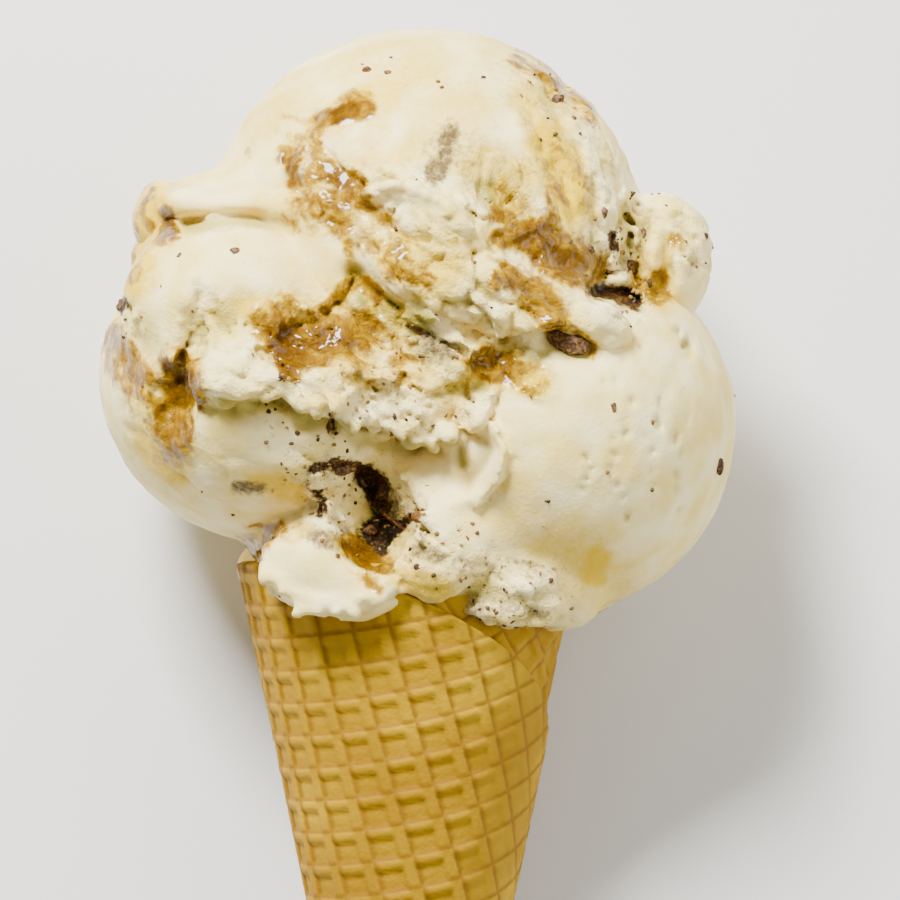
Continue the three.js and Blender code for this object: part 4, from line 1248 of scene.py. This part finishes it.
# The rolled sheet's rule, worked out at each point of a flat sheet. A row names a value, an
# operation, and what it works on: numbers, sizes and values that stand above. LINEAR and
# SMOOTHSTEP run between two ends of their first value, from one result to another.
WAFER_RULE = [
    ("u", "ADD", "sheet x", 0.5),
    ("v", "ADD", "sheet y", 0.5),
    # Up the outside, over the rim and down the inside
    ("inside", "SMOOTHSTEP", "v", OUTSIDE_SHARE, RIM_END, 0.0, 1.0),
    ("up", "LINEAR", "v", 0.0, OUTSIDE_SHARE, "Tip Z", "Rim Z"),
    ("down", "LINEAR", "v", RIM_END, FOOT_START, 0.0, HOLLOW_DEPTH),
    ("z", "SUBTRACT", "up", "down"),
    # Round the axis from under the flap to the flap's edge, which swings round on its way down
    ("swept", "DIVIDE", "z", FLAP_TURNS["within"]),
    ("swept", "POWER", math.e, "swept"),
    ("swept", "MULTIPLY", "swept", -FLAP_TURNS["gained"]),
    ("turn", "ADD", "swept", FLAP_TURNS["at_rim"] + FLAP_TURNS["gained"]),
    ("round", "LINEAR", "u", 0.0, FLAP_EDGE, -360.0 - OVERLAP, 0.0),
    ("turn", "ADD", "turn", "round"),
    ("back", "LINEAR", "u", FLAP_BACK, 1.0, 0.0, -OVERLAP),
    ("turn", "ADD", "turn", "back"),
    ("dips", "LINEAR", "u", FLAP_DIPS, FLAP_BACK, 0.0, 1.0),
    ("hidden", "LINEAR", "u", 0.0, HIDDEN_START, 1.0, 0.0),
    ("under", "MAXIMUM", "dips", "hidden"),
    # The lattice's column and row, on the sheet unrolled flat
    ("above apex", "SUBTRACT", "z", "Apex Z"),
    ("slant", "DIVIDE", "above apex", "Cosine"),
    ("unrolled", "SUBTRACT", "turn", STRAIGHT_TURN),
    ("unrolled", "RADIANS", "unrolled"),
    ("unrolled", "MULTIPLY", "unrolled", "Sine"),
    ("column", "SINE", "unrolled"),
    ("column", "MULTIPLY", "slant", "column"),
    ("column", "SUBTRACT", "column", "Column Shift"),
    ("column", "DIVIDE", "column", "Cell"),
    ("row", "COSINE", "unrolled"),
    ("row", "MULTIPLY", "slant", "row"),
    ("row", "SUBTRACT", "row", "Row Shift"),
    ("row", "DIVIDE", "row", "Cell"),
    # The height over the inner face: ridges that wear down, bulging pits, and the wrap's lift
    ("column gap", "PINGPONG", "column", 0.5),
    ("row gap", "PINGPONG", "row", 0.5),
    ("column ridge", "SMOOTHSTEP", "column gap", *RIDGE_FLANK, 1.0, 0.0),
    ("row ridge", "SMOOTHSTEP", "row gap", *RIDGE_FLANK, 1.0, 0.0),
    ("ridge", "MAXIMUM", "column ridge", "row ridge"),
    ("worn", "SMOOTHSTEP", "turn", *WORN_TURNS, 1.0, "Worn Height"),
    ("ridge", "MULTIPLY", "ridge", "worn"),
    ("proud", "SUBTRACT", "Ridge Top", "Pit Floor"),
    ("height", "MULTIPLY_ADD", "ridge", "proud", "Pit Floor"),
    ("bulge", "MULTIPLY", "column gap", "row gap"),
    ("bulge", "MULTIPLY", "bulge", PIT_BULGE),
    ("height", "ADD", "height", "bulge"),
    ("lift", "SMOOTHSTEP", "turn", *LIFT_TURNS, 0.0, 1.0),
    ("lift", "MULTIPLY", "lift", "Wrap Lift"),
    ("height", "ADD", "height", "lift"),
    # Under the flap the sheet lies lower, and inside the cone it has no height
    ("beneath", "ADD", "Ridge Top", UNDER_GAP),
    ("drop", "SUBTRACT", "beneath", "height"),
    ("height", "MULTIPLY_ADD", "under", "drop", "height"),
    ("outside", "SUBTRACT", 1.0, "inside"),
    ("height", "MULTIPLY", "height", "outside"),
    # The radius, which closes at the rounded tip and at the hollow's foot
    ("radius", "MULTIPLY", "above apex", "Slope"),
    ("height", "DIVIDE", "height", "Cosine"),
    ("radius", "ADD", "radius", "height"),
    ("rounding", "LINEAR", "z", "Tip Z", TIP_Z + TIP_ROUNDING, 0.0, 1.0),
    ("rounding", "SUBTRACT", 1.0, "rounding"),
    ("rounding", "MULTIPLY", "rounding", "rounding"),
    ("rounding", "SUBTRACT", 1.0, "rounding"),
    ("rounding", "SQRT", "rounding"),
    ("radius", "MULTIPLY", "radius", "rounding"),
    ("closing", "LINEAR", "v", FOOT_START, 1.0, 1.0, 0.0),
    ("radius", "MULTIPLY", "radius", "closing"),
    # The place in space, with the rim's bead
    ("angle", "RADIANS", "turn"),
    ("x", "SINE", "angle"),
    ("x", "MULTIPLY", "radius", "x"),
    ("y", "COSINE", "angle"),
    ("y", "MULTIPLY", "radius", "y"),
    ("y", "MULTIPLY", "y", -1.0),
    ("bead", "MULTIPLY", "inside", math.pi),
    ("bead", "SINE", "bead"),
    ("bead", "MULTIPLY", "bead", RIM_BEAD),
    ("z", "ADD", "z", "bead"),
]


def wafer_tree(material):
    """The rolled sheet as one closed skin: up the outside with its lattice, over the rim and down
    the inside, and round the axis from under the flap to the flap's edge and back beneath it."""
    tree, size = shape_tree("rolled wafer", WAFER_SIZES)
    counts = {"Vertices X": WAFER_COLUMNS + 1, "Vertices Y": WAFER_ROWS + 1}
    sheet = {"Size X": 1.0, "Size Y": 1.0, **counts}
    sheet = add(tree, "GeometryNodeMeshGrid", inputs=sheet)
    start = add(tree, "ShaderNodeSeparateXYZ", inputs={0: tree.nodes.new("GeometryNodeInputPosition")})
    values = {name: size[name] for name in WAFER_SIZES}
    values.update({"sheet x": start.outputs[0], "sheet y": start.outputs[1]})
    for name, operation, *terms in WAFER_RULE:
        kind, settings = "ShaderNodeMath", {"operation": operation}
        if operation in ("LINEAR", "SMOOTHSTEP"):
            kind, settings = "ShaderNodeMapRange", {"interpolation_type": operation}
        terms = {i: values.get(term, term) for i, term in enumerate(terms)}
        values[name] = add(tree, kind, settings, terms)
    flat = {0: values["column"], 1: values["row"]}
    flat = add(tree, "ShaderNodeCombineXYZ", inputs=flat)
    place = {0: values["x"], 1: values["y"], 2: values["z"]}
    place = add(tree, "ShaderNodeCombineXYZ", inputs=place)
    stored = add(
        tree,
        "GeometryNodeStoreNamedAttribute",
        {"data_type": "FLOAT_VECTOR", "domain": "POINT"},
        {"Geometry": sheet, "Name": "flat", "Value": flat},
    )
    rolled = add(tree, "GeometryNodeSetPosition", inputs={"Geometry": stored, "Position": place})
    welded = {"Geometry": rolled, "Distance": WELD}
    welded = add(tree, "GeometryNodeMergeByDistance", inputs=welded)
    realized = add(tree, "GeometryNodeRealizeInstances", inputs={"Geometry": welded})
    finished = add(tree, "GeometryNodeSetMaterial", inputs={"Geometry": realized, "Material": material})
    add(tree, "NodeGroupOutput", inputs={0: finished})
    return tree


wafer = wafer_material()
wafer_mesh = grown("rolled_wafer", wafer_tree(wafer), WAFER_SIZES)
lay_down(wafer_mesh)
rolled_wafer = show("rolled_wafer", wafer_mesh)


def cookie_material():
    """Chocolate cookie, baked and crushed: near black and crumbly, browner where it broke."""
    material, tree = new_material("crushed chocolate cookie")
    place = add(tree, "ShaderNodeTexCoord").outputs["Object"]
    crumb = {"Vector": place, "Scale": per_mm(0.5), "Detail": 4.0}
    crumb = add(tree, "ShaderNodeTexNoise", inputs=crumb)
    body = ramp(
        tree,
        crumb.outputs["Fac"],
        (0.3, colour("#1a1005")),
        (0.5, colour("#513414")),
        (0.7, colour("#946733")),
    ).outputs["Color"]
    bumps = add(
        tree,
        "ShaderNodeBump",
        inputs={"Strength": 0.9, "Distance": 0.2 * MM, "Height": crumb.outputs["Fac"]},
    )
    shader = add(
        tree,
        "ShaderNodeBsdfPrincipled",
        inputs={"Base Color": body, "Roughness": 0.55, "IOR": 1.45, "Normal": bumps},
    )
    add(tree, "ShaderNodeOutputMaterial", inputs={"Surface": shader})
    return material


# Cookie and chocolate pieces in front: where each shows, its sizes across, deep and up in
# millimetres, its turn in the picture in degrees, and how far it is sunk
UPPER_BITS = {
    "crown": ((388, 73), (1.3, 1.0, 1.1), 20, 0.3),
    "crown's left": ((367, 70), (1.6, 1.0, 1.0), -20, 0.35),
    "crown's right": ((483, 78), (1.2, 1.0, 0.9), 40, 0.3),
    "long bit at the top right": ((557, 102), (1.6, 1.2, 2.8), -20, 0.3),
    "second at the top right": ((572, 120), (1.7, 1.2, 1.4), 30, 0.3),
    "third at the top right": ((577, 135), (1.4, 1.0, 1.2), 0, 0.3),
    "tongue's left": ((398, 228), (1.1, 1.0, 1.1), 10, 0.3),
    "tongue's fleck": ((378, 248), (0.9, 0.8, 0.9), 50, 0.25),
    "dome's right": ((590, 250), (1.6, 1.2, 1.8), 15, 0.3),
    "beside the gap": ((627, 268), (2.6, 2.0, 3.6), -15, 0.5),
    "below the gap": ((648, 283), (1.4, 1.2, 1.6), 0, 0.3),
    "nugget's edge": ((703, 237), (1.6, 1.4, 1.3), 25, 0.3),
    "nugget": ((684, 243), (1.2, 1.0, 1.0), 0, 0.3),
    "tan bit": ((632, 193), (1.2, 1.0, 1.0), 0, 0.3),
    "in the gap": ((610, 291), (3.4, 2.2, 1.8), -10, -0.6),
    "right end of the gap": ((633, 302), (2.4, 1.6, 1.2), -20, -0.2),
    "left end of the gap": ((600, 287), (2.0, 1.6, 1.4), 35, 0.0),
    "tooth over the gap": ((621, 284), (1.5, 1.4, 2.2), -30, 0.1),
    "above the gap": ((608, 270), (1.5, 1.2, 2.4), 20, 0.25),
    "dome's right, high": ((604, 214), (1.2, 1.0, 2.2), -10, 0.3),
    "below the crown": ((566, 240), (2.0, 1.2, 1.5), 20, 0.4),
    "nugget's left": ((645, 236), (1.0, 1.0, 2.4), 8, 0.35),
}
LOWER_BITS = {
    "chunk in the eye": ((568, 345), (5.6, 3.6, 3.5), -10, -0.2),
    "left outline": ((121, 303), (2.2, 2.0, 2.5), 30, 0.2),
    "left fold": ((180, 257), (1.2, 1.0, 1.2), 0, 0.3),
    "left fold's right": ((234, 253), (1.7, 1.1, 1.4), 30, 0.35),
    "left lobe": ((133, 323), (1.3, 1.0, 1.2), 0, 0.3),
    "left lobe's right": ((193, 310), (1.1, 1.0, 1.0), 0, 0.3),
    "left fleck": ((252, 357), (1.5, 1.0, 1.6), 20, 0.4),
    "red-brown": ((280, 376), (1.6, 1.2, 1.3), 10, 0.3),
    "under the hem": ((288, 407), (1.6, 1.2, 1.3), 0, 0.3),
    "under the hem, left": ((280, 420), (1.1, 1.0, 1.0), 0, 0.3),
    "under the hem, right": ((302, 424), (1.2, 1.0, 1.0), 0, 0.3),
    "under the hem, low": ((297, 434), (1.0, 1.0, 1.0), 0, 0.3),
    "slit": ((331, 422), (0.6, 1.2, 2.6), 5, 0.0),
    "middle": ((378, 425), (1.3, 1.0, 1.2), 0, 0.3),
    "middle's right": ((393, 417), (1.0, 1.0, 1.0), 0, 0.3),
    "right lobe": ((613, 408), (1.5, 1.1, 1.5), 20, 0.35),
    "right lobe's foot": ((547, 499), (1.7, 1.1, 1.3), 10, 0.35),
    "right outline": ((719, 465), (1.3, 1.1, 2.6), 5, 0.3),
    "cavity's upper left": ((343, 470), (3.4, 2.0, 1.6), -5, 0.0),
    "cavity's left": ((322, 478), (2.0, 1.6, 1.4), 20, 0.2),
    "cavity's wall": ((360, 484), (2.0, 1.8, 3.6), 15, 0.2),
    "cavity's middle": ((385, 487), (2.2, 2.0, 4.6), -20, -0.4),
    "shard": ((402, 527), (6.8, 2.6, 0.9), -38, 0.3),
    "shard's foot": ((387, 543), (1.5, 1.4, 2.2), -20, 0.2),
    "cavity's foot": ((370, 530), (2.2, 1.6, 1.4), 0, 0.1),
    "cavity's fleck": ((323, 500), (1.6, 1.2, 1.2), 0, 0.3),
    "first dot on the lip": ((312, 556), (0.9, 0.8, 0.9), 0, 0.3),
    "second dot on the lip": ((337, 557), (0.8, 0.8, 0.8), 0, 0.3),
    "first smudge on the lip": ((320, 537), (1.2, 0.8, 1.0), 0, 0.4),
    "second smudge on the lip": ((347, 533), (1.2, 0.8, 1.0), 0, 0.4),
    "neck": ((420, 567), (1.6, 1.0, 1.1), 0, 0.35),
    "slit on the right": ((427, 487), (1.9, 1.0, 0.9), 10, 0.2),
    "above the slit": ((432, 423), (1.1, 1.0, 1.0), 0, 0.3),
    "by the ledge": ((445, 414), (0.9, 0.8, 0.9), 0, 0.3),
    "first in the cluster": ((423, 338), (1.7, 1.2, 1.4), 0, 0.3),
    "second in the cluster": ((436, 346), (1.5, 1.2, 1.5), 30, 0.3),
    "third in the cluster": ((422, 355), (1.2, 1.0, 1.1), 0, 0.3),
    "lower band's first": ((458, 529), (1.3, 1.0, 1.1), 0, 0.3),
    "lower band's second": ((442, 560), (1.4, 1.0, 1.0), 0, 0.3),
    "lower band's third": ((492, 568), (1.5, 1.0, 1.1), 0, 0.3),
    "lower band's fourth": ((480, 583), (1.1, 1.0, 1.0), 0, 0.3),
    "lower band's fifth": ((547, 580), (1.6, 1.0, 1.3), 0, 0.3),
    "second band's first": ((482, 610), (1.3, 1.0, 1.0), 0, 0.3),
    "second band's second": ((497, 612), (1.1, 1.0, 0.9), 0, 0.3),
    "second band's third": ((517, 603), (1.2, 1.0, 1.0), 0, 0.3),
    "second band's fourth": ((537, 610), (1.2, 1.0, 1.0), 0, 0.3),
    "corner": ((457, 603), (1.4, 1.0, 1.1), 0, 0.3),
}


def broken_lump(draw, fineness):
    """A unit lump with flat broken faces: a ball with random caps cut off and a rough skin."""
    shape = bmesh.new()
    bmesh.ops.create_icosphere(shape, subdivisions=fineness, radius=0.62)
    points = np.array([v.co for v in shape.verts], np.float32)
    faces = np.array([[v.index for v in f.verts] for f in shape.faces])
    shape.free()
    for _ in range(9):
        way = draw.normal(size=3)
        way /= np.linalg.norm(way)
        over = points @ way - draw.uniform(0.34, 0.46)
        points -= np.maximum(over, 0)[:, None] * way.astype(np.float32)
    offset = draw.uniform(0, 50, 3).astype(np.float32)
    rough = 0.07 * noise(points + offset, 0.4, 81) + 0.06 * noise(points + offset, 0.15, 82)
    return points * (1 + rough[:, None]), faces


def cookie_bits(name, field, bits, material, seed):
    """Broken cookie pieces, each sunk in the cream where the photograph shows it."""
    draw = np.random.default_rng(seed)
    all_points = []
    all_faces = []
    count = 0
    for pixel, size, turn, sunk in bits.values():
        fineness = 5 if max(size) > 5 else 4 if max(size) > 2.4 else 3
        points, faces = broken_lump(draw, fineness)
        c, s = math.cos(math.radians(turn)), math.sin(math.radians(turn))
        points = points * np.array(size)
        points = points @ np.array([[c, 0, s], [0, 1, 0], [-s, 0, c]])
        x, z = unseen(pixel, FRONT_Y)
        x, z = unseen(pixel, field.front(x, z))
        points += (x, field.front(x, z) + sunk * size[1], z)
        all_points.append(points)
        all_faces.append(faces + count)
        count += len(points)
    return mesh_object(name, np.vstack(all_points), np.vstack(all_faces), material)


# Crumbs to a square metre where the cream is strewn the most, and a crumb's radius
CRUMB_SIZES = {"Density": 0.9e5, "Radius": 0.27 * MM}


def crumb_tree(material, seed):
    """Cookie crumbs strewn over the cream by its strewn attribute, each turned, stretched and
    coloured at random."""
    tree, size = shape_tree("strewn crumbs", CRUMB_SIZES)
    strewn = add(tree, "GeometryNodeInputNamedAttribute", {"data_type": "FLOAT"}, {"Name": "strewn"})
    density = add(tree, "ShaderNodeMath", {"operation": "MULTIPLY"}, {0: strewn, 1: size["Density"]})
    places = add(
        tree,
        "GeometryNodeDistributePointsOnFaces",
        inputs={"Mesh": size["Geometry"], "Density": density, "Seed": seed},
    )
    ball = add(tree, "GeometryNodeMeshIcoSphere", inputs={"Radius": size["Radius"], "Subdivisions": 3})
    dents = add(tree, "ShaderNodeTexNoise", inputs={"Scale": per_mm(0.4), "Detail": 1.0})
    dents = {0: dents.outputs["Color"], 1: (0.5, 0.5, 0.5)}
    dents = add(tree, "ShaderNodeVectorMath", {"operation": "SUBTRACT"}, dents)
    dents = add(tree, "ShaderNodeVectorMath", {"operation": "SCALE"}, {0: dents, "Scale": 0.34 * MM})
    crumb = add(tree, "GeometryNodeSetPosition", inputs={"Geometry": ball, "Offset": dents})
    turn = add(
        tree,
        "FunctionNodeRandomValue",
        {"data_type": "FLOAT_VECTOR"},
        {"Max": (math.tau, math.tau, math.tau), "Seed": seed + 1},
    )
    stretch = add(
        tree,
        "FunctionNodeRandomValue",
        {"data_type": "FLOAT_VECTOR"},
        {"Min": (0.5, 0.5, 0.5), "Max": (1.8, 1.6, 1.5), "Seed": seed + 2},
    )
    strewn = add(
        tree,
        "GeometryNodeInstanceOnPoints",
        inputs={"Points": places, "Instance": crumb, "Rotation": turn, "Scale": stretch},
    )
    shade = add(tree, "FunctionNodeRandomValue", {"data_type": "FLOAT"}, {"Seed": seed + 3})
    shade = [output for output in shade.outputs if output.enabled][0]
    shaded = add(
        tree,
        "GeometryNodeStoreNamedAttribute",
        {"data_type": "FLOAT", "domain": "INSTANCE"},
        {"Geometry": strewn, "Name": "shade", "Value": shade},
    )
    realized = add(tree, "GeometryNodeRealizeInstances", inputs={"Geometry": shaded})
    finished = add(tree, "GeometryNodeSetMaterial", inputs={"Geometry": realized, "Material": material})
    add(tree, "NodeGroupOutput", inputs={0: finished})
    return tree


def crumb_material():
    """Fine cookie crumb soaking in the cream: from near black to a soft orange brown."""
    material, tree = new_material("soaked cookie crumb")
    shade = add(tree, "ShaderNodeAttribute", {"attribute_name": "shade"}).outputs["Fac"]
    body = ramp(
        tree,
        shade,
        (0.1, colour("#2a1e0c")),
        (0.4, colour("#6c4c1e")),
        (0.9, colour("#a8843c")),
    ).outputs["Color"]
    shader = add(
        tree,
        "ShaderNodeBsdfPrincipled",
        inputs={"Base Color": body, "Roughness": 0.5, "IOR": 1.4},
    )
    add(tree, "ShaderNodeOutputMaterial", inputs={"Surface": shader})
    return material


def crumbs(name, cream_object, material, seed):
    """The crumbs strewn over a piece of cream, as an object of their own."""
    mesh = grown(name, crumb_tree(material, seed), CRUMB_SIZES, cream_object.data)
    mesh.shade_smooth()
    return show(name, mesh)


crumb = crumb_material()
upper_crumbs = crumbs("upper_crumbs", upper_scoop, crumb, 101)
lower_crumbs = crumbs("lower_crumbs", lower_scoop, crumb, 111)
cookie = cookie_material()
upper_bits = cookie_bits("upper_cookie_bits", upper, UPPER_BITS, cookie, 91)
lower_bits = cookie_bits("lower_cookie_bits", lower, LOWER_BITS, cookie, 92)

for piece, node, slot in [
    (rolled_wafer, "wafer_cone", "wafer"),
    (lower_scoop, "lower_scoop", "cream_lower"),
    (upper_scoop, "upper_scoop", "cream_upper"),
    (lower_bits, "lower_scoop", "cream_lower"),
    (upper_bits, "upper_scoop", "cream_upper"),
    (lower_crumbs, "lower_scoop", "cream_lower"),
    (upper_crumbs, "upper_scoop", "cream_upper"),
]:
    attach(piece, "root")
    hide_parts(node)


# How strongly the room lights the scene, and how bright it is in reflections
ROOM_LIGHT = 0.5
MIRRORED_LIGHT = 0.12

# Half the floor's side in metres, the point that the lamps are turned to, and each lamp's place,
# size and power
FLOOR_HALF = 3.0
LAMPS_AT = (0, 0, 0.03)
LAMPS = {
    "main lamp": ((-0.26, 0.44, 0.66), 0.26, 25.0),
    "fill lamp": ((0.60, 0.0, 0.55), 0.6, 4.5),
}


def floor_and_lights():
    """A plain pale floor, a large soft lamp at the upper left of the view and a weak one opposite."""
    material, tree = new_material("matt painted floor")
    shader = add(
        tree,
        "ShaderNodeBsdfPrincipled",
        inputs={"Base Color": colour("#dcdad5"), "Roughness": 0.8},
    )
    add(tree, "ShaderNodeOutputMaterial", inputs={"Surface": shader})
    mesh = bpy.data.meshes.new("floor")
    corners = [(x * FLOOR_HALF, y * FLOOR_HALF, 0) for x, y in [(-1, -1), (1, -1), (1, 1), (-1, 1)]]
    mesh.from_pydata(corners, [], [(0, 1, 2, 3)])
    mesh.materials.append(material)
    show("floor", mesh)
    for name, (at, size, power) in LAMPS.items():
        lamp = bpy.data.lights.new(name, "AREA")
        lamp.size = size
        lamp.energy = power
        holder = show(name, lamp)
        holder.location = at
        aim = Vector(LAMPS_AT) - Vector(at)
        holder.rotation_euler = aim.to_track_quat("-Z", "Y").to_euler()
    world = bpy.data.worlds.new("studio")
    bpy.context.scene.world = world
    world.use_nodes = True
    background = world.node_tree.nodes["Background"]
    background.inputs["Color"].default_value = colour("#f4f4f2")
    path = add(world.node_tree, "ShaderNodeLightPath")
    strength = {0: path.outputs["Is Glossy Ray"], 1: MIRRORED_LIGHT - ROOM_LIGHT, 2: ROOM_LIGHT}
    strength = add(world.node_tree, "ShaderNodeMath", {"operation": "MULTIPLY_ADD"}, strength)
    world.node_tree.links.new(strength.outputs[0], background.inputs["Strength"])


def place_camera():
    """The camera far over the cone, so that the view has hardly any perspective."""
    camera = bpy.data.cameras.new("camera")
    camera.lens = camera.sensor_width * CAMERA_AWAY / PICTURE_WIDTH
    camera.clip_start = 0.05
    holder = show("camera", camera)
    holder.location = LAY_DOWN @ Vector((LOOK_AT[0], -CAMERA_AWAY, LOOK_AT[1]))
    holder.rotation_euler = (REST_TILT, 0, 0)
    bpy.context.scene.camera = holder


floor_and_lights()
place_camera()
